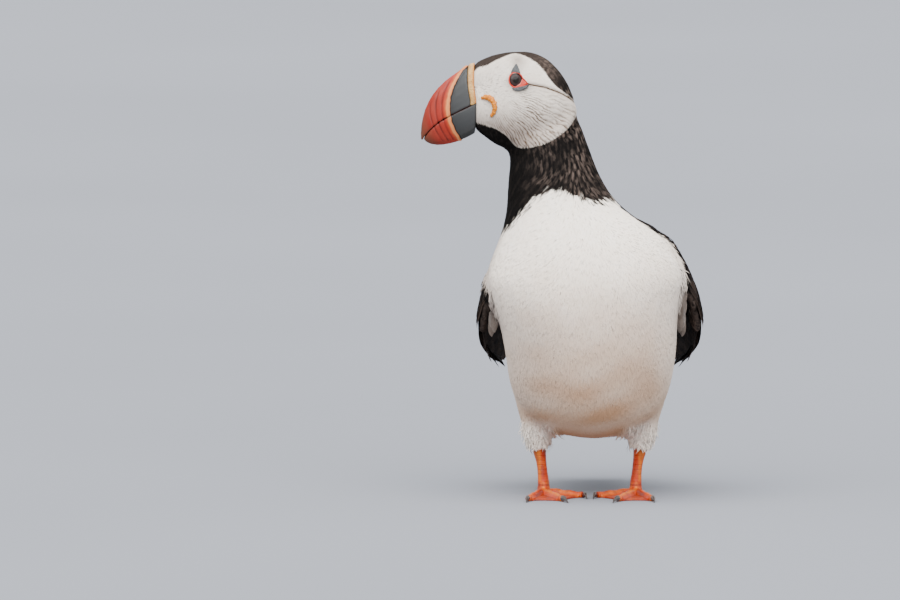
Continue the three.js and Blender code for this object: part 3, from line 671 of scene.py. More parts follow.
def vane_keratin():
    """Broad feathers of the wings, back and tail: close barbs of black-brown keratin on a
    shaft, dull, worn to brown along the edges, and pale on the wing's lining. Real barbs are
    too fine to show, so these are drawn about half a millimetre apart."""
    made, tree, place = new_material("barbed black-brown vane")
    across, run, tone, wear = (node(tree, "Attribute", "Fac", attribute_name=name)
                               for name in ("across", "run", "tone", "wear"))
    side = node(tree, "Math", 0, {0: across}, operation="ABSOLUTE")
    slant = node(tree, "Math", 0, {0: side, 1: 2.6}, operation="MULTIPLY")
    phase = node(tree, "Math", 0, {0: run, 1: slant}, operation="SUBTRACT")
    turns = node(tree, "Math", 0, {0: phase, 1: 11.0}, operation="MULTIPLY")
    barbs = node(tree, "Math", 0, {0: turns}, operation="SINE")
    mottle = node(tree, "TexNoise", "Fac", {"Vector": place, "Scale": 1 / (2.2 * MM),
                                            "Detail": 3.0})
    tone = node(tree, "Mix", 0, {0: 0.4, 2: tone, 3: mottle})
    brown = node(tree, "ValToRGB", "Color", {"Fac": tone},
                 [(0.25, "#120c0a"), (0.5, "#241b16"), (0.8, "#3a2d26")])
    edge = node(tree, "Math", 0, {0: side, 1: 5.0}, operation="POWER")
    worn = node(tree, "Math", 0, {0: edge, 1: wear}, operation="MULTIPLY")
    brown = painted(tree, brown, (worn, "#5b4b41"))
    pale = node(tree, "ValToRGB", "Color", {"Fac": tone},
                [(0.25, "#a5968a"), (0.6, "#c6b8ab"), (0.8, "#ddd4ca")])
    gaps = node(tree, "Math", 0, {0: barbs, 1: 0.12}, operation="MULTIPLY")
    base = painted(tree, pale, ("dark", brown), (gaps, "#040303"))
    relief = node(tree, "Bump", 0, {"Height": barbs, "Distance": 0.05 * MM, "Strength": 1.0})
    shader = node(tree, "BsdfPrincipled", 0, {"Base Color": base, "Roughness": 0.8,
                                              "Specular IOR Level": 0.07, "Normal": relief})
    node(tree, "OutputMaterial", None, {"Surface": shader})
    return made


def bill_keratin():
    """The bill's sheath: solid keratin grown in layers, satin gloss over fine growth lines with
    painted highlight streaks along them, blue-grey at the base, a pale ridge, then red with
    painted shade in its grooves and a horny tip."""
    made, tree, place = new_material("grown bill keratin")
    band = node(tree, "Attribute", "Fac", attribute_name="band")
    past_base = node(tree, "Math", 0, {0: band, 1: 14.0}, operation="ADD")
    share = node(tree, "Math", 0, {0: past_base, 1: 42.0}, operation="DIVIDE", use_clamp=True)
    base = node(tree, "ValToRGB", "Color", {"Fac": share}, [
        (0.0, "#444545"), (0.30, "#333434"), (0.306, "#100d0d"), (0.313, "#100d0d"),
        (0.321, "#bd6f40"), (0.352, "#d0864f"), (0.372, "#a8441f"), (0.40, "#8c1605"),
        (0.46, "#820c02"), (0.60, "#780b02"), (0.69, "#5c1706"), (0.76, "#3f1e0c")])
    drawn_out = node(tree, "Mapping", 0, {"Vector": place, "Scale": (0.35, 0.35, 0.12)})
    lines = node(tree, "TexNoise", "Fac", {"Vector": drawn_out, "Scale": 1 / (1.1 * MM),
                                           "Detail": 3.0})
    # Painted highlight: pale streaks along the growth lines on the red.
    past_ridge = node(tree, "Math", 0, {0: share, 1: 0.32}, operation="SUBTRACT")
    on_red = node(tree, "Math", 0, {0: past_ridge, 1: 8.0}, operation="MULTIPLY",
                  use_clamp=True)
    faint = node(tree, "Math", 0, {0: lines, 1: 0.14}, operation="MULTIPLY")
    highlight_streaks = node(tree, "Math", 0, {0: faint, 1: on_red}, operation="MULTIPLY")
    # Painted highlight along the growth lines, painted shade in the grooves, and the dark seam
    # where the halves meet.
    base = painted(tree, base, (highlight_streaks, "#e0876a"), ("groove", "#4a120b"),
                   ("seam", "#3a1712"))
    relief = node(tree, "Bump", 0, {"Height": lines, "Distance": 0.08 * MM, "Strength": 1.0})
    shader = node(tree, "BsdfPrincipled", 0, {"Base Color": base, "Roughness": 0.42,
                                              "Specular IOR Level": 0.25, "Normal": relief})
    node(tree, "OutputMaterial", None, {"Surface": shader})
    return made


def cere_skin():
    """The band at the bill's base: soft waxy skin, cream, pitted, its hind edge orange."""
    made, tree, place = new_material("waxy cere skin")
    pits = node(tree, "TexVoronoi", "Distance", {"Vector": place, "Scale": 1 / (0.75 * MM)})
    blotch = node(tree, "TexNoise", "Fac", {"Vector": place, "Scale": 1 / (3.0 * MM)})
    base = node(tree, "ValToRGB", "Color", {"Fac": blotch},
                [(0.3, "#b18248"), (0.6, "#c3995a"), (0.8, "#d0ac74")])
    base = painted(tree, base, ("fringe", "#c8772a"), ("seam", "#2c2320"))
    relief = node(tree, "Bump", 0, {"Height": pits, "Distance": 0.25 * MM, "Strength": 1.0})
    shader = node(tree, "BsdfPrincipled", 0, {
        "Base Color": base, "Roughness": 0.5, "Specular IOR Level": 0.4,
        "Subsurface Weight": 0.1, "Subsurface Radius": (0.002, 0.001, 0.0005),
        "Normal": relief})
    node(tree, "OutputMaterial", None, {"Surface": shader})
    return made


def bare_skin(name, deep, light, roughness, wrinkle):
    """Bare coloured skin: soft, slightly waxy, in wrinkles of `wrinkle` mm, paler on its
    ridges."""
    made, tree, place = new_material(name)
    fine = node(tree, "TexNoise", "Fac", {"Vector": place, "Scale": 1 / (wrinkle * MM),
                                          "Detail": 3.0})
    base = node(tree, "ValToRGB", "Color", {"Fac": fine}, [(0.3, deep), (0.7, light)])
    base = painted(tree, base, ("pale", "#d0a095"))
    relief = node(tree, "Bump", 0, {"Height": fine, "Distance": 0.15 * MM, "Strength": 1.0})
    shader = node(tree, "BsdfPrincipled", 0, {"Base Color": base, "Roughness": roughness,
                                              "Specular IOR Level": 0.35, "Normal": relief})
    node(tree, "OutputMaterial", None, {"Surface": shader})
    return made


def scaled_leg_skin():
    """Legs and feet: waxy orange skin in small scutes, yellower on the shank's outer side
    and down the toes, in part as a painted highlight; darker red in the grooves as painted
    shade; thin creased webs."""
    made, tree, place = new_material("scaled leg skin")
    blotch = node(tree, "TexNoise", "Fac", {"Vector": place, "Scale": 1 / (5.0 * MM)})
    fine = node(tree, "TexNoise", "Fac", {"Vector": place, "Scale": 1 / (0.8 * MM),
                                          "Detail": 3.0})
    web = node(tree, "ValToRGB", "Color", {"Fac": blotch},
               [(0.3, "#8a2404"), (0.55, "#9d3207"), (0.75, "#b04a16")])
    toe = node(tree, "ValToRGB", "Color", {"Fac": blotch},
               [(0.3, "#a82602"), (0.55, "#b93803"), (0.75, "#c95106")])
    # The yellow fronts are partly painted highlight; the creases are painted shade.
    base = painted(tree, web, ("toe", toe), ("front", "#d9740a"), ("crease", "#7a1c0a"),
                   ("grime", "#5a3524"))
    scute = node(tree, "Attribute", "Fac", attribute_name="scute")
    pattern = node(tree, "Mix", 0, {0: 0.3, 2: scute, 3: fine})
    relief = node(tree, "Bump", 0, {"Height": pattern, "Distance": 0.3 * MM, "Strength": 1.0})
    shader = node(tree, "BsdfPrincipled", 0, {
        "Base Color": base, "Roughness": 0.45, "Specular IOR Level": 0.3,
        "Coat Weight": 0.05, "Coat Roughness": 0.3, "Normal": relief})
    node(tree, "OutputMaterial", None, {"Surface": shader})
    return made


def claw_keratin():
    """Claws: hard keratin, dark grey-brown, polished by wear towards the point."""
    made, tree, place = new_material("claw keratin")
    drawn_out = node(tree, "Mapping", 0, {"Vector": place, "Scale": (1, 0.2, 1)})
    lines = node(tree, "TexNoise", "Fac", {"Vector": drawn_out, "Scale": 1 / (1.2 * MM)})
    base = node(tree, "ValToRGB", "Color", {"Fac": lines},
                [(0.3, "#2b2725"), (0.6, "#433d3a"), (0.8, "#5d5652")])
    relief = node(tree, "Bump", 0, {"Height": lines, "Distance": 0.05 * MM, "Strength": 1.0})
    shader = node(tree, "BsdfPrincipled", 0, {"Base Color": base, "Roughness": 0.32,
                                              "Specular IOR Level": 0.5, "Normal": relief})
    node(tree, "OutputMaterial", None, {"Surface": shader})
    return made


def plate_keratin():
    """The small horny plates above and below the eye: blue-grey, dull, finely pitted."""
    made, tree, place = new_material("eye plate keratin")
    fine = node(tree, "TexNoise", "Fac", {"Vector": place, "Scale": 1 / (0.9 * MM),
                                          "Detail": 3.0})
    base = node(tree, "ValToRGB", "Color", {"Fac": fine},
                [(0.3, "#38393a"), (0.6, "#484a4b"), (0.8, "#5d5f60")])
    relief = node(tree, "Bump", 0, {"Height": fine, "Distance": 0.1 * MM, "Strength": 1.0})
    shader = node(tree, "BsdfPrincipled", 0, {"Base Color": base, "Roughness": 0.55,
                                              "Specular IOR Level": 0.25, "Normal": relief})
    node(tree, "OutputMaterial", None, {"Surface": shader})
    return made


def wet_eye():
    """The eye: a clear wet cornea over a dark grey-brown iris and a black pupil."""
    made, tree, place = new_material("wet eye")
    out = node(tree, "Attribute", "Fac", attribute_name="out")
    share = node(tree, "Math", 0, {0: out, 1: 4.0}, operation="DIVIDE", use_clamp=True)
    base = node(tree, "ValToRGB", "Color", {"Fac": share}, [
        (0.0, "#020101"), (0.34, "#030202"), (0.43, "#221a18"), (0.62, "#35292a"),
        (0.76, "#241b1a"), (0.84, "#080505"), (0.955, "#080505"), (0.985, "#d8cabc")])
    fibres = node(tree, "TexNoise", "Fac", {"Vector": place, "Scale": 1 / (0.5 * MM),
                                            "Detail": 3.0})
    faint = node(tree, "Math", 0, {0: fibres, 1: 0.2}, operation="MULTIPLY")
    base = painted(tree, base, (faint, "#463b38"))
    shader = node(tree, "BsdfPrincipled", 0, {
        "Base Color": base, "Roughness": 0.14, "Specular IOR Level": 0.1,
        "Coat Weight": 0.05, "Coat Roughness": 0.03})
    node(tree, "OutputMaterial", None, {"Surface": shader})
    return made


# ---- The skin ---------------------------------------------------------------------------------

FLESH = ["head", "neck", "breast", "back", "belly", "rump", "thigh_left", "thigh_right",
         "wing_left", "wing_right"]
LEGS = ["tarsus_left", "tarsus_right", "foot_left", "foot_right"]
SKIN_VOXEL = 1.35              # face sizes of the body's and the legs' skin, in mm
LEG_VOXEL = 0.5


def make_outline():
    """The smooth outer form of the coated body, with the wing arms."""
    solids = [node_solid(name, 0.3) for name in FLESH]
    solids += [node_solid(f"eye_{side}", 0.5) for side in SIDES]
    points, faces = remeshed(solids, SKIN_VOXEL)
    wing = wing_closeness(points)
    head = step(-6, 6, above_neck(points))
    thigh = 1 - step(30, 52, on_body(points)[2])
    strength = 0.5 * (1 - 0.5 * wing) * (1 - 0.7 * head) * (1 - 0.6 * thigh)
    points = smoothed(points, faces, 44, strength)
    points, faces = halved(points, faces, above_neck(points) > -3)
    head = step(-6, 6, above_neck(points))
    points = smoothed(points, faces, 6, 0.5 * head)
    normals = point_normals(points, faces)
    points = points - 0.25 * MM * normals
    return points, faces, normals


def base_bow(points):
    """How far forward the line between the face and the bill bulges at each place, in mm."""
    forward, above = in_profile(points)
    near = step(9, 20, forward) * (1 - step(25, 34, forward))
    return 1.2 * np.clip(1 - ((above + 0.5) / 10) ** 2, 0, 1) * near


def cheek_relief(points):
    """The head's own folds, in mm: the crease behind the eye, the full hind edge of the
    cheek that stands over the collar, the furrows and the brow."""
    forward, above = in_profile(points)
    depth = face_depth(points)
    crease = line_distance(forward, above, EYE_CREASE)
    over = np.interp(-forward, *zip(*[(-x, y) for x, y in EYE_CREASE]))
    fold = bell(crease - 1.2, 1.0) * (above > over) * 0.35
    hind = step(-4, -14, above) * step(8, -6, forward)
    edge = hind * (bell(depth - 2.4, 2.4) * 1.1 - bell(depth + 2.0, 1.6) * 0.8)
    lines = -0.4 * furrows(points)
    socket = -0.5 * bell(near_eye(points), 5.5)
    return fold - 0.45 * bell(crease, 0.7) * step(-5, -8, forward) + edge + lines + socket


def make_skin(outline, faces, normals):
    """The one skin: the outline taken in by the coat's depth, joined to the legs."""
    relief = cheek_relief(outline) * step(-4, 6, above_neck(outline))
    wing = wing_closeness(outline)
    depth = coat_depth(outline) * (1 - 0.8 * wing)
    bow = base_bow(outline) * step(-4, 6, above_neck(outline))
    outer = outline + normals * (relief * MM)[:, None] + HEAD_FORWARD * (bow * MM)[:, None]
    inner = outer - normals * (depth * MM)[:, None]
    inner = spread(inner, edges_of(faces), 2, 0.35)
    legs, leg_faces = remeshed([node_solid(name, 0.25) for name in LEGS], LEG_VOXEL)
    legs = smoothed(legs, leg_faces, 5)
    legs = legs - 0.2 * MM * point_normals(legs, leg_faces)
    legs[:, 2] = np.maximum(legs[:, 2], 0)
    return (outer, inner), (legs, triangles_of(leg_faces))


def joined_solid(body, legs):
    """Body and legs as one closed skin."""
    holders = []
    for name, solid in (("skin", body), ("legs", legs)):
        holder = bpy.data.objects.new(name, new_mesh(name, *solid))
        bpy.context.scene.collection.objects.link(holder)
        holders.append(holder)
    union = holders[0].modifiers.new("one skin", "BOOLEAN")
    union.operation = "UNION"
    union.solver = "MANIFOLD"
    union.object = holders[1]
    mesh = bpy.data.meshes.new_from_object(
        holders[0].evaluated_get(bpy.context.evaluated_depsgraph_get()))
    for holder in holders:
        bpy.data.objects.remove(holder)
    mesh.materials.clear()
    return mesh


def unwrapped(piece):
    """Gives a piece its own unwrap, named OFBake."""
    mesh = piece.data
    mesh.uv_layers.active = mesh.uv_layers.new(name="OFBake")
    bpy.ops.object.select_all(action="DESELECT")
    piece.select_set(True)
    bpy.context.view_layer.objects.active = piece
    bpy.ops.object.mode_set(mode="EDIT")
    bpy.ops.mesh.select_all(action="SELECT")
    bpy.ops.uv.smart_project(angle_limit=1.15, island_margin=0.004, scale_to_bounds=True)
    bpy.ops.object.mode_set(mode="OBJECT")


def ground_of(piece):
    """What feathers need to grow on a piece: its triangles, normals, unwrap and tree."""
    mesh = piece.data
    mesh.calc_loop_triangles()
    points = numbers(mesh.vertices, "co", 3).astype(float)
    triangles = numbers(mesh.loop_triangles, "vertices", 3, np.int32)
    corners = numbers(mesh.loop_triangles, "loops", 3, np.int32)
    uvs = numbers(mesh.uv_layers["OFBake"].uv, "vector", 2)[corners]
    return SimpleNamespace(points=points, triangles=triangles, uvs=uvs,
                           normals=point_normals(points, triangles),
                           middles=points[triangles].mean(1), tree=tree_of(points, triangles))


def marks_of(points):
    """What the plumage's material reads: its colours at each point, with painted shade
    and painted shadow among them.
    """
    return {"dark": darkness(points), "warm": lower_buff_and_shade(points), "ash": grey_and_shade(points),
            "furrow": furrows(points), "fleck": flecks(points)}


# ---- Feathers: closed blades and vanes ------------------------------------------------------

PATCH = 0.003                  # width of one feather's patch on the skin's unwrap
SHORT_NEAR_EYE = (4, 8)        # tufts shorten between these distances from the eye, in mm


def scattered(ground, density, seed):
    """Roots spread evenly over a surface, `density` of them to a square mm of each face."""
    draw = np.random.default_rng(seed)
    corners = ground.points[ground.triangles]
    area = np.linalg.norm(np.cross(corners[:, 1] - corners[:, 0],
                                   corners[:, 2] - corners[:, 0]), axis=1) / 2 / MM ** 2
    total = np.cumsum(area * density)
    count = int(total[-1])
    marks = (np.arange(count) + draw.random(count)) * total[-1] / count
    face = np.searchsorted(total, marks).clip(0, len(area) - 1)
    first, second = draw.random(count), draw.random(count)
    folded = first + second > 1
    first, second = np.where(folded, 1 - first, first), np.where(folded, 1 - second, second)
    share = np.stack([1 - first - second, first, second], axis=1)[..., None]
    return SimpleNamespace(
        points=(corners[face] * share).sum(1), uv=(ground.uvs[face] * share).sum(1),
        normals=unit((ground.normals[ground.triangles[face]] * share).sum(1)), draw=draw)


def some_roots(roots, kept):
    """The chosen roots only."""
    return SimpleNamespace(points=roots.points[kept], uv=roots.uv[kept],
                           normals=roots.normals[kept], draw=roots.draw)


def thinned(roots, gaps):
    """Keeps roots at least their own gap in mm apart, so that vanes lie evenly."""
    cells, kept = {}, []
    size = float(gaps.max()) * MM
    for index in roots.draw.permutation(len(roots.points)).tolist():
        point, gap = roots.points[index].tolist(), gaps[index] * MM
        cell = tuple(int(math.floor(value / size)) for value in point)
        near = (other for x in (-1, 0, 1) for y in (-1, 0, 1) for z in (-1, 0, 1)
                for other in cells.get((cell[0] + x, cell[1] + y, cell[2] + z), ()))
        if all(math.dist(point, other) >= gap for other in near):
            cells.setdefault(cell, []).append(point)
            kept.append(index)
    return some_roots(roots, kept)


def turned(ways, normals, angles):
    """Ways along a surface turned about its normals."""
    return (ways * np.cos(angles)[:, None]
            + np.cross(normals, ways) * np.sin(angles)[:, None])


def sleeve(rings, around):
    """Triangles of a closed form: a base, `rings` rings of `around` points, and a tip."""
    faces = [(i + 1, i, 0) for i in range(1, around - 1)]
    for ring in range(rings - 1):
        for i in range(around):
            a, b = ring * around + i, ring * around + (i + 1) % around
            faces += [(a, b, b + around), (a, b + around, a + around)]
    last, tip = (rings - 1) * around, rings * around
    return np.array(faces + [(last + i, last + (i + 1) % around, tip) for i in range(around)])


def shown_places(paths):
    """Where the part of each feather that shows lies, beyond the ones over its root."""
    return mix(paths[:, 0], paths[:, -1], 0.62)


def plume(name, roots, paths, ups, halves, ridge, under, material, marks=None,
          lengths=None):
    """One piece of many feathers. Each follows a centre line from its root to its tip, with
    the half width, the height of its shaft and the depth below it given for each ring."""
    count, rings = len(paths), paths.shape[1] - 1
    along = unit(np.gradient(paths, axis=1))
    side = unit(np.cross(ups, along))
    up = np.cross(along, side)
    ring_side, ring_up = side[:, :-1], up[:, :-1]
    centre = paths[:, :-1]
    wide = np.broadcast_to(halves, (count, rings))[..., None] * MM
    high = np.broadcast_to(ridge, (count, rings))[..., None] * MM
    parts = [centre + ring_side * wide, centre + ring_up * high, centre - ring_side * wide]
    leans = [ring_up + 0.32 * ring_side, ring_up, ring_up - 0.32 * ring_side]
    spots = [0.2, 0.0, -0.2]
    if under is not None:
        low = np.broadcast_to(under, (count, rings))[..., None] * MM
        parts.append(centre - ring_up * low)
        leans.append(-ring_up)
        spots.append(0.0)
    around = len(parts)
    points = np.stack(parts, axis=2).reshape(count, rings * around, 3)
    points = np.concatenate([points, paths[:, -1:]], axis=1)
    normals = np.stack(leans, axis=2).reshape(count, rings * around, 3)
    normals = unit(np.concatenate([normals, up[:, -1:]], axis=1))
    share = np.append(np.repeat(np.arange(rings) / rings, around), 1.0)
    sides = np.append(np.tile(spots, rings), 0.0)
    patch = np.stack([sides, share - 0.5], axis=1) * PATCH
    places = roots.uv[:, None] + patch[None]
    template = sleeve(rings, around)
    corners = points.shape[1]
    faces = (template[None] + (np.arange(count) * corners)[:, None, None]).reshape(-1, 3)
    mesh = new_mesh(name, points.reshape(-1, 3), faces)
    mesh.normals_split_custom_set_from_vertices(normals.reshape(-1, 3))
    layer = mesh.uv_layers.new(name="OFBake")
    layer.uv.foreach_set("vector", places.reshape(-1, 2)[faces.ravel()].astype(np.float32).ravel())
    found = dict(marks_of(shown_places(paths)) if marks is None else marks)
    if lengths is not None:
        found["run"] = lengths
    spread_out = {key: np.repeat(value, corners) for key, value in found.items()}
    spread_out["along"] = np.tile(share, count)
    if lengths is None:
        keep_numbers(mesh, **spread_out)
    else:
        spread_out["run"] = spread_out["run"] * spread_out["along"]
        keep_numbers(mesh, across=np.tile(sides, count) * 5, **spread_out)
    return put(name, mesh, material)


def lying(ground, roots, lie, length, rise, bends=(0.5, 1.0)):
    """Centre lines that hug the skin: from the root, to tips `rise` mm above the skin."""
    ends, up_there, gaps = nearest(ground.tree, roots.points + lie * (length * MM)[:, None])
    lost = gaps > 0.4 * length * MM
    ends = np.where(lost[:, None], roots.points + lie * (length * MM)[:, None], ends)
    up_there = np.where(lost[:, None], roots.normals, up_there)
    rise = np.broadcast_to(rise, len(length))[:, None]
    angle = np.arccos(np.clip((roots.normals * up_there).sum(1), -1, 1))[:, None]
    paths, ups = [roots.points - roots.normals * 0.2 * MM], [roots.normals]
    for share in bends:
        up = unit(mix(roots.normals, up_there, share))
        swell = share * (1 - share) * 0.5 * angle * length[:, None]
        lift = rise * (1 - (1 - share) ** 2) + swell
        paths.append(mix(roots.points, ends, share) + up * lift * MM)
        ups.append(up)
    return np.stack(paths, axis=1), np.stack(ups, axis=1)


def clinging(tree, paths, ups, halves, limit):
    """Which vanes keep to a surface: tip and both edges within `limit` mm of it."""
    along = unit(paths[:, 4] - paths[:, 2])
    side = unit(np.cross(ups[:, 3], along)) * halves[:, 3:4] * MM
    asked = np.stack([paths[:, -1], paths[:, 3] + side, paths[:, 3] - side], axis=1)
    _, _, off = nearest(tree, asked.reshape(-1, 3))
    return off.reshape(-1, 3).max(1) < limit * MM


def tufts(name, ground, density, length, width, material, seed, scatter_angle=0.11,
          lift=0.85, shag=None, marks=marks_of):
    """A piece of fine tufts. Length and width are functions of place."""
    roots = scattered(ground, density, seed)
    count = len(roots.points)
    lie = lie_of(roots.points, roots.normals)
    lie = turned(lie, roots.normals, roots.draw.normal(0, scatter_angle, count))
    size = length(roots.points) * roots.draw.uniform(0.75, 1.2, count)
    size = size * (1 - 0.3 * furrows(roots.points))
    rise = coat_depth(roots.points) * roots.draw.uniform(0.8, 1.02, count) * lift + 0.12
    if shag is not None:
        rise = rise + shag(roots.points) * roots.draw.uniform(0, 1, count) ** 2
    half = (width(roots.points) / 2 * roots.draw.uniform(0.8, 1.2, count))[:, None]
    size = size * mix(0.5, 1, step(*SHORT_NEAR_EYE, near_eye(roots.points)))
    paths, ups = lying(ground, roots, lie, size, rise)
    kept = near_eye(paths[:, -1]) > BARE_AROUND_EYE - 0.25
    kept &= nearest(ground.tree, paths[:, -1])[2] < (rise + 1.0) * MM
    kept &= (ups[:, 0] * ups[:, -1]).sum(1) > 0.2
    return plume(name, some_roots(roots, kept), paths[kept], ups[kept],
                 half[kept] * [0.9, 1.0], half[kept] * 0.5, None, material,
                 marks=marks(shown_places(paths[kept])))


outline_points, outline_faces, outline_normals = make_outline()
(coat_points, body_points), legs_solid = make_skin(outline_points, outline_faces,
                                                   outline_normals)
skin_mesh = joined_solid((body_points, outline_faces), legs_solid)
PLUMAGE = feather_keratin()
SKIN_NODES = FLESH + LEGS
skin = put("skin", skin_mesh, [PLUMAGE], SKIN_NODES)
unwrapped(skin)
ground = ground_of(skin)
keep_numbers(skin.data, along=np.full(len(ground.points), 0.6), **marks_of(ground.points))


# ---- Legs and feet: their markings on the skin -------------------------------------------------

TOES = ("inner", "middle", "outer")
LEG_TOP = 29.5                 # the bare skin of the legs ends at this height, in mm
SCUTE = 1.25                   # length of one scute down the shank and the toes, in mm


def leg_marks(points):
    """What the leg skin's material reads: toes, scutes, the creases' painted shade and the
    yellow fronts, which are partly painted highlight.
    """
    across, back, height = on_body(points)
    best = np.full(len(points), 9.0)
    along = np.zeros(len(points))
    front = np.zeros(len(points))
    fan = np.zeros(len(points))
    for side, sign in SIDES.items():
        ankle = middle("tarsus_" + side) * [1, 1, 0]
        mine = on_body(points)[0] * sign > 0
        for toe in TOES:
            tip = middle(f"claw_{toe}_{side}") * [1, 1, 0]
            way, reach = unit(tip - ankle), np.linalg.norm(tip - ankle) / MM
            away = (points * [1, 1, 0] - ankle) / MM
            run = away @ way
            off = np.abs(away @ np.array([-way[1], way[0], 0]))
            gap = off + np.maximum(-run - 2, 0) + np.maximum(run - reach, 0)
            closer = mine & (gap < best)
            best = np.where(closer, gap, best)
            along = np.where(closer, run, along)
            # Painted highlight along the top of each toe, strongest on the middle toe.
            shine = bell(off, 0.9) * step(2, 6, run) * (1.0 if toe == "middle" else 0.55)
            front = np.where(closer, shine, front)
        away = (points - ankle) / MM
        fan = np.where(mine, np.arctan2(away[:, 0], -away[:, 1]), fan)
    shank = step(5.5, 9, height)
    toe = np.maximum(1 - step(1.6, 2.5, best), shank)
    run = mix(along, height, shank)
    scute = np.abs(np.sin(math.pi * run / SCUTE)) ** 0.5
    # Painted shade: darker red round the ankle, beside the toes and between the scutes.
    ankle_ring = bell(height - 5.6, 0.5) * 0.8
    beside_toe = bell(best - 2.5, 0.45) * (1 - shank) * 0.75
    between = (1 - np.abs(np.sin(math.pi * run / SCUTE)) ** 0.35) * 0.5 * toe
    folds = 0.5 + 0.5 * np.sin(fan * 60 + 2 * ripple(points, 6, 101))
    outward = np.abs(across) - abs(on_body(middle("tarsus_left"))[0])
    # Yellow scutes down the front of the shank, in part a painted highlight.
    shank_front = bell(back + 4.5 - SHANKS_BACK, 2.6) * shank * step(-1.1, 0.5, outward)
    yellow_and_highlight = np.where(shank > 0.5, shank_front * 0.9, front * (1 - shank) * 0.8)
    grime = step(0.62, 1.0, 0.5 + 0.5 * ripple(points, 3.5, 103)) * 0.35
    return {"toe": toe, "scute": mix(0.35 * folds, scute, toe), "front": yellow_and_highlight,
            "crease": np.clip(ankle_ring + beside_toe + between, 0, 1), "grime": grime}


keep_numbers(skin.data, **leg_marks(ground.points))
skin.data.materials.append(scaled_leg_skin())
on_leg = on_body(numbers(skin.data.polygons, "center", 3))[2] < LEG_TOP
skin.data.polygons.foreach_set("material_index", on_leg.astype(np.int32))


# ---- The coat of fine feathers --------------------------------------------------------------

def feathered(points):
    """1 where fine feathers grow: not on the bare legs, round the eye or on the wings."""
    _, _, height = on_body(points)
    eye = step(BARE_AROUND_EYE - 0.3, BARE_AROUND_EYE + 0.3, near_eye(points))
    leg_line = step(LEG_TOP - 1, LEG_TOP + 0.5, height + ripple(points, 4, 51))
    return leg_line * eye * (1 - wing_closeness(points))


def tuft_length(points):
    """In mm: long on the belly and breast, short on the head and face."""
    face, head, trunk = zones(points)
    _, _, height = on_body(points)
    thigh = 1 - step(34, 52, height)
    return mix(mix(mix(mix(6.5, 9.0, trunk), 6.5, thigh), 3.6, head), 2.7, face)


def tuft_width(points):
    """In mm."""
    face, head, trunk = zones(points)
    return mix(mix(mix(0.9, 1.15, trunk), 0.65, head), 0.5, face)


def tuft_density(points):
    """Tufts to a square mm."""
    face, head, trunk = zones(points)
    _, _, height = on_body(points)
    thigh = 1 - step(34, 52, height)
    return mix(mix(mix(mix(2.6, 2.1, trunk), 3.6, thigh), 4.2, head), 6.0, face) * feathered(points)


def thigh_shag(points):
    """Loose ends on the thighs, in mm."""
    across, _, height = on_body(points)
    return 2.2 * (1 - step(31, 44, height)) * step(12, 20, np.abs(across))


def in_head(points):
    return above_neck(points) > -1


def in_face(points):
    return in_head(points) & (face_depth(points) > -0.6)


def pale(points):
    return darkness(points) < 0.5


def at_height(points, low=-math.inf, high=math.inf):
    """Whether each point is above one height and not above another, in mm."""
    _, _, height = on_body(points)
    return (height > low) & (height <= high)


COLLAR_FOOT, BREAST_MIDDLE, BELLY_TOP, THIGH_TOP = 143, 118, 84, 46     # heights in mm
coat_density = tuft_density(ground.middles)
# The pieces of the coat, and where each grows.
COAT = {
    "face_feathers_left": lambda p: in_face(p) & (on_head(p)[1] > 0),
    "face_feathers_right": lambda p: in_face(p) & (on_head(p)[1] <= 0),
    "crown_feathers": lambda p: in_head(p) & ~in_face(p),
    "collar_feathers": lambda p: ~in_head(p) & ~pale(p) & at_height(p, COLLAR_FOOT),
    "upper_breast_feathers": lambda p: ~in_head(p) & pale(p) & at_height(p, BREAST_MIDDLE),
    "lower_breast_feathers": lambda p: pale(p) & at_height(p, BELLY_TOP, BREAST_MIDDLE),
    "belly_feathers": lambda p: pale(p) & at_height(p, THIGH_TOP, BELLY_TOP),
    "thigh_feathers": lambda p: pale(p) & at_height(p, high=THIGH_TOP),
    "back_down": lambda p: ~in_head(p) & ~pale(p) & at_height(p, high=COLLAR_FOOT),
}
for seed, (name, chosen) in enumerate(COAT.items(), start=60):
    shag = thigh_shag if name in ("thigh_feathers", "belly_feathers") else None
    share = 0.35 if name == "back_down" else 1.0
    tufts(name, ground, share * coat_density * chosen(ground.middles), tuft_length,
          tuft_width, PLUMAGE,
          seed, shag=shag)


# ---- Broad vanes: coverts, back, long wing feathers and tail -----------------------------------

VANE = vane_keratin()
# Half widths of three shapes of feather from near the root to near the tip, widest at 1.
ROUND_VANE = np.array([0.45, 0.82, 1.0, 1.0, 0.9, 0.6])
LONG_VANE = np.array([0.4, 0.7, 0.92, 1.0, 1.0, 1.0, 1.0, 0.98, 0.95, 0.88, 0.74, 0.46])
POINTED_VANE = np.array([0.5, 0.8, 0.95, 1.0, 0.98, 0.94, 0.88, 0.8, 0.7, 0.57, 0.42, 0.24])


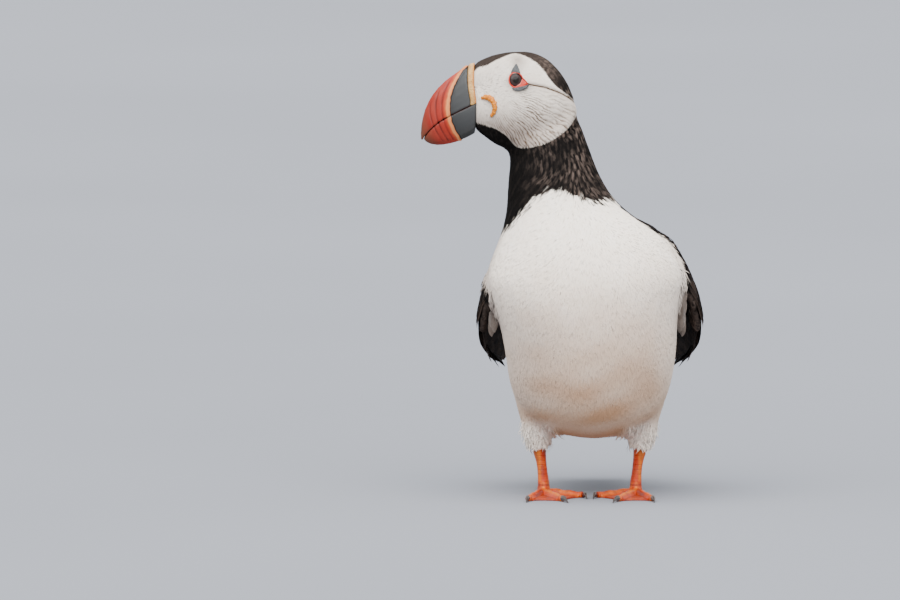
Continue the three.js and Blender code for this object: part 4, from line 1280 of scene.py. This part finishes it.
def vanes(name, density, gap, length, width, seed, rise, scatter_angle=0.07):
    """A piece of broad overlapping feathers on the skin. Sizes are functions of place."""
    roots = scattered(ground, density, seed)
    roots = thinned(roots, gap(roots.points))
    count = len(roots.points)
    lie = lie_of(roots.points, roots.normals)
    lie = turned(lie, roots.normals, roots.draw.normal(0, scatter_angle, count))
    size = length(roots.points) * roots.draw.uniform(0.88, 1.1, count)
    half = (width(roots.points) / 2 * roots.draw.uniform(0.9, 1.1, count))[:, None]
    lift = rise(roots.points) * roots.draw.uniform(0.85, 1.15, count)
    paths, ups = lying(ground, roots, lie, size, lift, (0.18, 0.38, 0.58, 0.78, 0.93, 1.0))
    kept = clinging(ground.tree, paths, ups, half * ROUND_VANE, lift + 0.9)
    marks = {"dark": np.ones(count), "tone": roots.draw.random(count),
             "wear": roots.draw.uniform(0.2, 0.9, count)}
    marks = {key: value[kept] for key, value in marks.items()}
    return plume(name, some_roots(roots, kept), paths[kept], ups[kept],
                 half[kept] * ROUND_VANE, 0.16, 0.05, VANE, marks=marks,
                 lengths=size[kept])


def covert_size(points):
    """0 at the front edge of the wing, 1 where its longest coverts grow."""
    return step(-84, -50, on_wing(points)[0])


def back_size(points):
    """0 at the nape, 1 low on the back."""
    return 1 - step(88, 150, on_body(points)[2])


def on_back(points):
    dark = darkness(points) > 0.5
    return dark * (1 - wing_closeness(points, 1.5, 4)) * (on_body(points)[2] < 146)


def on_wing_edge(points):
    """1 on the front of each wing's arm and on its inner side."""
    across, _, height = on_body(points)
    along, over = on_wing(points)
    depth = np.zeros(len(points))
    for side, sign in SIDES.items():
        mine = across * sign > 0
        depth[mine] = sheet_out(side, along[mine], over[mine]) - np.abs(across[mine])
    ahead = along + ripple(points, 8, 9) * 1.5 < -80
    return (wing_closeness(points) > 0.45) * ((depth > 0.6) | ahead) * (height < 134)


def wing_marks(points):
    """Black-brown over most of the wing's arm, pale on its side towards the body."""
    even = np.ones(len(points))
    worn = np.clip(0.5 + 0.35 * ripple(points, 2.2, 33), 0, 1)
    return {"dark": 1 - 0.85 * lining(points), "warm": 0.2 * even, "ash": 0.5 * even,
            "furrow": 0 * even, "fleck": worn}


tufts("wing_edge_feathers", ground, 3.4 * on_wing_edge(ground.middles),
      lambda p: mix(4.2, 7.5, covert_size(p)), lambda p: mix(1.15, 1.5, covert_size(p)),
      PLUMAGE, 80, lift=0.35, marks=wing_marks)
vanes("back_feathers", 3.0 * on_back(ground.middles),
      lambda p: mix(1.7, 3.4, back_size(p)), lambda p: mix(6.0, 13.5, back_size(p)),
      lambda p: mix(3.2, 6.8, back_size(p)), 81,
      lambda p: mix(1.2, 1.7, back_size(p)))


def spaced_roots(places, normals, seed):
    """Roots for feathers placed one by one, with the unwrap's own patch for each."""
    count = len(places)
    row = np.arange(count)
    patch = np.stack([0.02 + 0.006 * (row % 150), 0.01 + 0.006 * (row // 150)], axis=1)
    return SimpleNamespace(points=places, normals=normals, uv=patch,
                           draw=np.random.default_rng(seed))


def placed_vanes(name, paths, ups, halves, ridge, wear, seed, dark=1.0):
    """A piece of long feathers whose centre lines are given."""
    roots = spaced_roots(paths[:, 0], ups[:, 0], seed)
    count = len(paths)
    lengths = np.linalg.norm(np.diff(paths, axis=1), axis=2).sum(1) / MM
    marks = {"dark": np.full(count, dark), "wear": np.full(count, wear),
             "tone": roots.draw.random(count)}
    return plume(name, roots, paths, ups, halves, ridge, 0.06, VANE,
                 marks=marks, lengths=lengths)


FLIGHT_COUNT = 16
# Where the longest feathers of each wing end: how far out, back and up, in mm.
LONG_TIPS = [(56.4, 33, 76), (52.4, 50, 67.6), (48.2, 66, 63.4), (45, 80, 62.6)]


def long_wing_feathers(side):
    """The folded flight feathers: the lowest are the longest, and each lies under the next."""
    share = np.linspace(0, 1, len(LONG_VANE) + 1)
    rank = (np.arange(FLIGHT_COUNT) / (FLIGHT_COUNT - 1))[:, None]
    root_along, root_over = mix(-50, -44, rank), mix(82.5, 118, rank)
    tip_along, tip_over = mix(30.5, -10, rank ** 0.85), mix(101.5, 121, rank)
    bow = mix(-4.4, 1.5, rank)
    along = mix(root_along, tip_along, share)
    over = mix(root_over, tip_over, share) + 4 * share * (1 - share) * bow
    paths, normals = wing_face(side, along, over, 0.35 + 0.45 * share)
    ups = unit(normals + 0.13 * TO_WING_TOP)
    pointed = 1 - step(0.25, 0.6, rank)
    halves = mix(LONG_VANE, POINTED_VANE, pointed) * mix(3.9, 3.5, rank)
    placed_vanes(f"flight_vanes_{side}", paths, ups, halves, 0.3, 0.55, 90)


def wing_points(side, sign):
    """The feather tips that break the wing's lower outline."""
    tips = np.array(LONG_TIPS, float)
    share = np.linspace(0, 1, len(POINTED_VANE) + 1)
    end_along = SLOPE_COS * tips[:, 1] - SLOPE_SIN * tips[:, 2]
    end_over = SLOPE_SIN * tips[:, 1] + SLOPE_COS * tips[:, 2]
    along = mix(-46.0, end_along[:, None], share)
    over = mix(83.5, end_over[:, None], share) + share * (1 - share) * -7
    paths, normals = wing_face(side, along, over, -0.7 + 0 * share)
    shift = tips[:, 0] - sign * (paths[:, -1, 0] - STANCE[0]) / MM
    paths[..., 0] += sign * (shift[:, None] * share ** 3) * MM
    ups = unit(normals - 1.0 * share[:, None] * np.array([0, 1, 0]))
    placed_vanes(f"wing_points_{side}", paths, ups, POINTED_VANE * 4.2, 0.35, 0.4, 91)


def greater_coverts(side):
    """The row of coverts over the roots of the flight feathers."""
    count = 15
    share = np.linspace(0, 1, len(ROUND_VANE) + 1)
    rank = (np.arange(count) / (count - 1))[:, None]
    along = mix(-62, -57, rank) + mix(21, 15, rank) * share
    over = mix(83, 118, rank) + mix(-2.5, 1, rank) * share
    paths, normals = wing_face(side, along, over, 0.9 + 0.9 * share)
    ups = unit(normals + 0.12 * TO_WING_TOP)
    placed_vanes(f"greater_coverts_{side}", paths, ups, ROUND_VANE * 3.5, 0.25, 0.7, 92)


def covert_rows(side):
    """Rows of coverts down the outer face of the arm, each over the roots of the next."""
    rows = 7
    draw = np.random.default_rng(94)
    starts, overs, ranks = [], [], []
    for row in range(rows):
        rank = row / (rows - 1)
        gap = mix(2.2, 4.3, rank)
        over = np.arange(76, 136, gap) + (row % 2) * gap / 2
        starts.append(mix(-87, -65, rank ** 0.9) + draw.uniform(-0.6, 0.6, len(over)))
        overs.append(over + draw.uniform(-0.3, 0.3, len(over)))
        ranks.append(np.full(len(over), rank))
    start, over, rank = (np.concatenate(lot)[:, None] for lot in (starts, overs, ranks))
    share = np.linspace(0, 1, len(ROUND_VANE) + 1)
    length = mix(7.0, 15.5, rank)
    turn = mix(-0.16, 0.12, (over - 80) / 50)
    lift = 0.1 + mix(0.3, 0.8, rank) * share
    paths, normals = wing_face(side, start + length * share, over + length * share * turn, lift)
    ups = unit(normals + 0.1 * TO_WING_TOP)
    halves = ROUND_VANE * mix(1.8, 3.2, rank)
    kept = clinging(WHOLE_WINGS[side], paths, ups, halves, 1.3)
    kept &= nearest(WING_TREES[side], paths[:, 0])[2] < 1.2 * MM
    placed_vanes(f"arm_coverts_{side}", paths[kept], ups[kept], halves[kept], 0.2, 0.6, 94)


LINING_OUT = {"left": 48.8, "right": 51.7}     # how far out the pale lining lies, in mm


def lining_feathers(side, sign):
    """Soft pale feathers of the wing's lining, between the arm and the body."""
    share = np.linspace(0, 1, len(ROUND_VANE) + 1)
    rank = np.linspace(0, 1, 11)[:, None]
    height = mix(121, 97, rank) - 13 * share
    back = np.interp(height, *zip(*WING_FRONT)) + 2.2 - 1.2 * share
    out = LINING_OUT[side] + 0.9 * np.sin(rank * 40) + 0 * share
    paths = STANCE + np.stack([sign * out, back, height], axis=-1) * MM
    ups = np.broadcast_to(unit(np.array([-0.45 * sign, -1, 0.1])), paths.shape)
    placed_vanes(f"lining_feathers_{side}", paths, ups, ROUND_VANE * 2.6 + 0 * rank, 0.2,
                 0.4, 95, dark=0.08)


def wing_core(side):
    """The dark mass under the flight feathers."""
    points, faces = remeshed([node_solid(f"flight_feathers_{side}", 0.2)], 0.9)
    points = smoothed(points, faces, 10)
    points = points - 0.7 * MM * point_normals(points, faces)
    mesh = new_mesh(f"flight_core_{side}", points, faces)
    along, over = on_wing(points)
    tone = np.clip(0.6 + 0.3 * ripple(points, 6, 8), 0, 1)
    keep_numbers(mesh, dark=1 - 0.9 * lining(points), tone=tone, run=along,
                 across=2 * ((over / 5.2) % 1) - 1, wear=np.full(len(points), 0.8))
    put(f"flight_core_{side}", mesh, VANE, [f"flight_feathers_{side}"])


for side, sign in SIDES.items():
    wing_core(side)
    wing_points(side, sign)
    long_wing_feathers(side)
    greater_coverts(side)
    covert_rows(side)
    lining_feathers(side, sign)


# The tail's upper face along its middle: how far back and how high, in mm.
TAIL_TOP = [(44, 64.5), (56, 58.5), (68, 51.5), (80, 44.5), (88, 39.9), (93, 37.0)]
TAIL_ARCH = 0.008              # drop of the tail's sides for each square of half width


def make_tail():
    """A short square tail of broad feathers, the middle pair on top."""
    points, faces = remeshed([node_solid("tail", 0.2)], 0.9)
    points = smoothed(points, faces, 8)
    points = points - 0.6 * MM * point_normals(points, faces)
    mesh = new_mesh("tail_core", points, faces)
    keep_numbers(mesh, dark=np.ones(len(points)), tone=np.full(len(points), 0.3))
    put("tail_core", mesh, VANE, ["tail"])
    place = np.linspace(-1, 1, 16)
    order = place[np.argsort(-np.abs(place))][:, None]
    share = np.linspace(0, 1, len(LONG_VANE) + 1)
    tip_back = 92.8 - 5.5 * np.abs(order) ** 2.5
    back = mix(46, tip_back, share)
    across = order * mix(9, 18.2, share)
    height = np.interp(back, *zip(*TAIL_TOP)) - TAIL_ARCH * across ** 2
    height = height + 0.9 * (1 - np.abs(order)) + 0.2
    paths = STANCE + np.stack([across, back, height], axis=-1) * MM
    slope = np.gradient(height, axis=1) / np.gradient(back, axis=1)
    ups = unit(np.stack([0.10 * order + 0.016 * across, -slope, np.ones(back.shape)], axis=-1))
    placed_vanes("tail_feathers", paths, ups, LONG_VANE * 3.2, 0.25, 0.6, 93)


make_tail()


# ---- Loose feathers: thigh ends, flanks under the wings -----------------------------------------

def wisp_ground(points):
    """1 on the outer sides of the thighs."""
    across, _, height = on_body(points)
    return (1 - step(37, 44, height)) * step(14, 20, np.abs(across)) * feathered(points)


def flank_ground(points):
    """1 on the flanks beside the front edge of each wing."""
    _, back, height = on_body(points)
    beside = wing_closeness(points, 5.0, 9.0) * (1 - wing_closeness(points, 0.8, 1.6))
    return beside * (back < 10) * (height > 100) * (height < 124)


def wisps(name, density, length, width, shag, angle, seed):
    """Loose pointed tufts that stand a little away from the coat."""
    roots = scattered(ground, density, seed)
    count = len(roots.points)
    lie = lie_of(roots.points, roots.normals)
    lie = turned(lie, roots.normals, roots.draw.normal(0, angle, count))
    size = length * roots.draw.uniform(0.6, 1.25, count)
    rise = coat_depth(roots.points) + shag * roots.draw.random(count)
    half = (width / 2 * roots.draw.uniform(0.7, 1.3, count))[:, None]
    paths, ups = lying(ground, roots, lie, size, rise, (0.3, 0.65, 1.0))
    kept = (ups[:, 0] * ups[:, -1]).sum(1) > 0.3
    plume(name, some_roots(roots, kept), paths[kept], ups[kept],
          half[kept] * [0.8, 1.0, 0.7], half[kept] * 0.5, None, PLUMAGE)


wisps("thigh_wisps", 0.55 * wisp_ground(ground.middles), 8.5, 0.55, 3.0, 0.35, 95)
wisps("flank_wisps", 0.7 * flank_ground(ground.middles), 7.5, 1.0, 1.3, 0.2, 96)


# ---- The bill and its base ---------------------------------------------------------------------

GROOVES = (3.6, 6.8, 10.0)     # how far in front of the pale ridge each groove lies, in mm


def banding(points):
    """Distance in mm from the curved pale ridge across the bill, positive to the tip."""
    forward, above = in_profile(points)
    return forward + 0.021 * (above + 14) ** 2 - 36.2


def fine_solid(node_name, voxel, rounds, grow=0.15):
    """A CAD node as a fine smooth mesh: points, quads and normals."""
    points, faces = remeshed([node_solid(node_name, grow)], voxel)
    points = smoothed(points, faces, rounds)
    return points, faces, point_normals(points, faces)


def make_bill():
    """The sheaths of both halves of the bill, with its ridge, its grooves and its edge."""
    horn = bill_keratin()
    other = {"bill_upper": "bill_lower", "bill_lower": "bill_upper"}
    for name in other:
        points, faces, normals = fine_solid(name, 0.36, 26)
        band = banding(points)
        _, left, _ = on_head(points)
        _, _, gap = nearest(tree_of(*node_solid(other[name])), points)
        sides = step(0.8, 2.4, np.abs(left))
        # The grooves are cut into the sheath and also given painted shade.
        groove = sum(bell(band - place, 0.42) for place in GROOVES) * sides
        groove = groove * (0.75 + 0.25 * ripple(points, 6, 71))
        ridge = bell(band, 1.0)
        plate_edge = bell(band + 1.7, 0.5)
        relief = 0.5 * ridge - 0.4 * groove - 0.2 * plate_edge + 0.05 * ripple(points, 9, 72)
        points = points + normals * ((relief - 0.02) * MM)[:, None]
        points = points + HEAD_FORWARD * (base_bow(points) * MM)[:, None]
        mesh = new_mesh(name + "_horn", points, faces)
        keep_numbers(mesh, band=band + 0.18 * ripple(points, 2.2, 73),
                     groove=np.clip(groove, 0, 1) * 0.85,
                     seam=(1 - step(0.35 * MM, 0.9 * MM, gap)) * 0.8)
        put(name + "_horn", mesh, horn, [name])


# How far forward of the eyes the base band begins, in mm.
CERE_REAR = np.min(on_head(node_solid("cere")[0])[0])


def make_cere():
    """The pale band round the bill's base, with a row of beads along its hind edge."""
    points, faces, normals = fine_solid("cere", 0.3, 10, 0.2)
    from_rear = on_head(points)[0] - CERE_REAR
    _, above = in_profile(points)
    points = points + HEAD_FORWARD * (base_bow(points) * MM)[:, None]
    beads = 0.5 + 0.5 * np.cos(TURN * above / 0.9)
    relief = 0.25 * bell(from_rear - 1.6, 1.2) + 0.22 * beads * bell(from_rear - 0.3, 0.5)
    points = points + normals * (relief * MM)[:, None]
    mesh = new_mesh("cere_band", points, faces)
    keep_numbers(mesh, fringe=(1 - step(0.2, 1.1, from_rear)) * (0.45 + 0.55 * beads),
                 seam=step(2.5, 3.0, from_rear) * 0.7)
    put("cere_band", mesh, cere_skin(), ["cere"])


def make_mouth_folds():
    """The wrinkled rosettes at the corners of the mouth."""
    fold_skin = bare_skin("wrinkled mouth skin", "#ad5602", "#d58405", 0.45, 0.9)
    for side in SIDES:
        name = "mouth_fold_" + side
        points, faces, normals = fine_solid(name, 0.22, 6)
        forward, _, above = on_head(points)
        around = np.arctan2(above + 14.5, forward - 15.5)
        relief = 0.15 * np.sin(around * 17 + 1.5 * ripple(points, 2.5, 81))
        points = points + normals * ((relief + 0.1) * MM)[:, None]
        mesh = new_mesh(name + "_skin", points, faces)
        put(name + "_skin", mesh, fold_skin, [name])


# ---- The eyes -----------------------------------------------------------------------------------

EYE_OPENING = 3.4                  # radius of the eye that shows, in mm
EYE_CORNER = math.radians(200)     # where the rear corner lies, from forward round over the top
LID_MIDDLE = math.radians(222)     # where the inner lid reaches furthest over the ball


def eye_axis(side):
    """The way an eye looks: from the ball's middle to the middle of its opening."""
    forward, out, up = OPENING
    return unit(forward * HEAD_FORWARD + out * SIDES[side] * HEAD_LEFT + up * UP)


def rim_point(side, angle, radius, lift):
    """A place on the head around an eye: radius in mm in the profile's plane."""
    forward, above = radius * np.cos(angle), radius * np.sin(angle)
    far = from_head(forward, np.full(np.shape(forward), SIDES[side] * 40.0), above)
    inward = (-SIDES[side] * HEAD_LEFT).tolist()
    found = []
    for point in far.reshape(-1, 3).tolist():
        found.append(np.array(coat_tree.ray_cast(point, inward)[0]))
    return np.array(found).reshape(far.shape) + SIDES[side] * HEAD_LEFT * (
        np.asarray(lift)[..., None] * MM)


def corner_reach(angles):
    """How much further out the red rim runs at the rear corner, in mm."""
    away = np.abs((angles - EYE_CORNER + math.pi) % TURN - math.pi)
    return 3.1 * np.clip(1 - away / math.radians(42), 0, 1) ** 1.6


def make_eyes():
    """Each eye's ball, turned to look out through its opening, with its lids."""
    ball_material = wet_eye()
    rim_skin = bare_skin("red eye rim skin", "#a01c06", "#c22f12", 0.4, 0.7)
    rings, around = 40, 72
    for side, sign in SIDES.items():
        centre, axis = middle("eye_" + side), eye_axis(side)
        radius = float(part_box("eye_" + side)[1][2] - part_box("eye_" + side)[0][2]) / 2
        across = unit(np.cross(axis, UP))
        over = np.cross(across, axis)
        tilt = np.linspace(0, math.pi, rings + 1)[1:-1]
        turn = np.arange(around) / around * TURN
        outs = np.sin(tilt)[:, None, None] * (np.cos(turn)[:, None] * across
                                              + np.sin(turn)[:, None] * over)
        ball = (outs + np.cos(tilt)[:, None, None] * axis).reshape(-1, 3)
        ball = np.vstack([[axis], ball, [-axis]])
        cap = [(0, 1 + i, 1 + (i + 1) % around) for i in range(around)]
        last = 1 + (rings - 2) * around
        cap += [(len(ball) - 1, last + (i + 1) % around, last + i) for i in range(around)]
        for ring in range(rings - 2):
            for i in range(around):
                a, b = 1 + ring * around + i, 1 + ring * around + (i + 1) % around
                cap += [(a, a + around, b + around), (a, b + around, b)]
        points = centre + ball * radius
        mesh = new_mesh(f"eyeball_{side}", points, np.array(cap))
        out = np.linalg.norm(np.cross(points - centre, axis), axis=1) / MM
        out = np.where((points - centre) @ axis > 0, out, 9)
        keep_numbers(mesh, out=out)
        put(f"eyeball_{side}", mesh, ball_material, ["eye_" + side])
        make_rim(side, sign, rim_skin)


def make_rim(side, sign, rim_skin):
    """The red rim round an eye, drawn out to a point behind, and the pale lid inside it."""
    count, section = 120, 10
    angles = np.arange(count) / count * TURN
    reach = corner_reach(angles)
    middle_line = EYE_OPENING + 0.28 + 0.3 * np.sin(angles) ** 2 + reach
    half = np.where(reach > 0.2, 0.28, 0.33)
    turns = np.arange(section) / section * TURN
    radius = middle_line[:, None] + half[:, None] * np.cos(turns)
    lift = 0.35 + 0.42 * np.sin(turns)[None] + np.zeros((count, 1))
    points = rim_point(side, np.repeat(angles[:, None], section, 1), radius, lift)
    index = np.arange(count * section).reshape(count, section)
    ahead, beside = np.roll(index, -1, 0), np.roll(index, -1, 1)
    quads = np.stack([index, ahead, np.roll(ahead, -1, 1), beside], -1).reshape(-1, 4)
    quads = quads if sign > 0 else quads[:, ::-1]
    mesh = new_mesh(f"eye_rim_{side}", points.reshape(-1, 3), quads)
    put(f"eye_rim_{side}", mesh, rim_skin)
    columns = 14
    width = np.linspace(0, 1, columns)
    off = np.abs((angles - LID_MIDDLE + math.pi) % TURN - math.pi)
    near = (1 - step(0.45, 1.0, off))[:, None]
    opening = EYE_OPENING - 0.6 * near
    inner = opening + (middle_line[:, None] - opening) * width
    spread_angles = np.repeat(angles[:, None], columns, 1)
    top = rim_point(side, spread_angles, inner, np.full(inner.shape, 0.24))
    under = rim_point(side, spread_angles, inner, np.full(inner.shape, -0.4))
    shell = np.concatenate([top, under[:, ::-1]], axis=1)
    index = np.arange(count * 2 * columns).reshape(count, 2 * columns)
    ahead = np.roll(index, -1, 0)
    quads = np.stack([index, ahead, np.roll(ahead, -1, 1), np.roll(index, -1, 1)], -1)
    quads = quads.reshape(-1, 4) if sign > 0 else quads.reshape(-1, 4)[:, ::-1]
    mesh = new_mesh(f"inner_lid_{side}", shell.reshape(-1, 3), quads)
    shown = 0.8 * near * bell(inner - opening - 0.1, 0.12)
    keep_numbers(mesh, pale=np.concatenate([shown, shown[:, ::-1]], axis=1).ravel())
    put(f"inner_lid_{side}", mesh, rim_skin)


def make_eye_plates():
    """The small horny plates above and below each eye."""
    horn = plate_keratin()
    for side in SIDES:
        for place in ("upper", "lower"):
            name = f"eye_plate_{place}_{side}"
            points, faces, normals = fine_solid(name, 0.16, 5)
            points = points + normals * (0.06 * ripple(points, 1.6, 91) * MM)[:, None]
            mesh = new_mesh(name + "_horn", points, faces)
            put(name + "_horn", mesh, horn, [name])


def make_claws():
    """The three claws of each foot."""
    horn = claw_keratin()
    for side in SIDES:
        for toe in TOES:
            name = f"claw_{toe}_{side}"
            points, faces, _ = fine_solid(name, 0.16, 4, 0.1)
            mesh = new_mesh(name + "_horn", points, faces)
            put(name + "_horn", mesh, horn, [name])


coat_tree = tree_of(coat_points, outline_faces)
make_bill()
make_cere()
make_mouth_folds()
make_eyes()
make_eye_plates()
make_claws()


# ---- Light, floor and camera -----------------------------------------------------------------

FRAME_WIDTH = 481.3            # what the picture spans at the bird, in mm
CAMERA_DISTANCE = 8000.0       # in mm
CAMERA_RISE = math.radians(5)  # how far the camera looks down
SENSOR = 36.0                  # the film's width, in mm


def make_camera():
    """A long lens, a little above the bird, which stands to the right of the middle."""
    target = STANCE + np.array([-74.87, 0, 105.35 / math.cos(CAMERA_RISE)]) * MM
    away = np.array([0, -math.cos(CAMERA_RISE), math.sin(CAMERA_RISE)])
    made = bpy.data.cameras.new("camera")
    made.sensor_width = SENSOR
    made.lens = SENSOR * CAMERA_DISTANCE / FRAME_WIDTH
    made.clip_end = 100
    holder = bpy.data.objects.new("camera", made)
    holder.location = target + away * CAMERA_DISTANCE * MM
    holder.rotation_euler = (math.pi / 2 - CAMERA_RISE, 0, 0)
    bpy.context.scene.collection.objects.link(holder)
    bpy.context.scene.camera = holder


def make_floor():
    """A wide plain floor in pale matt grey."""
    corners = np.array([(-30, -30, 0), (30, -30, 0), (30, 30, 0), (-30, 30, 0)], float)
    mesh = new_mesh("floor", corners, np.array([[0, 1, 2, 3]]))
    material, tree, place = new_material("pale matt floor paint")
    cloud = node(tree, "TexNoise", "Fac", {"Vector": place, "Scale": 1 / (900.0 * MM)})
    tone = node(tree, "ValToRGB", "Color", {"Fac": cloud},
                [(0.35, "#81848b"), (0.65, "#85888f")])
    shader = node(tree, "BsdfPrincipled", 0, {"Base Color": tone, "Roughness": 0.9,
                                              "Specular IOR Level": 0.1})
    node(tree, "OutputMaterial", None, {"Surface": shader})
    mesh.materials.append(material)
    floor = bpy.data.objects.new("floor", mesh)
    bpy.context.scene.collection.objects.link(floor)


def make_light():
    """A bright even sky, and a broad soft light from above and in front."""
    world = bpy.data.worlds.new("soft studio")
    world.use_nodes = True
    shade = world.node_tree.nodes["Background"]
    shade.inputs["Color"].default_value = colour("#e8e9ec")
    shade.inputs["Strength"].default_value = 1.4
    bpy.context.scene.world = world
    for name, strength, tilt, turn, angle in (("overhead", 7.4, 28, -14, 70),
                                              ("front", 1.0, 68, 20, 60)):
        lamp = bpy.data.lights.new(name, "SUN")
        lamp.energy = strength
        lamp.angle = math.radians(angle)
        holder = bpy.data.objects.new(name, lamp)
        holder.rotation_euler = (math.radians(tilt), 0, math.radians(turn))
        bpy.context.scene.collection.objects.link(holder)


make_camera()
make_floor()
make_light()
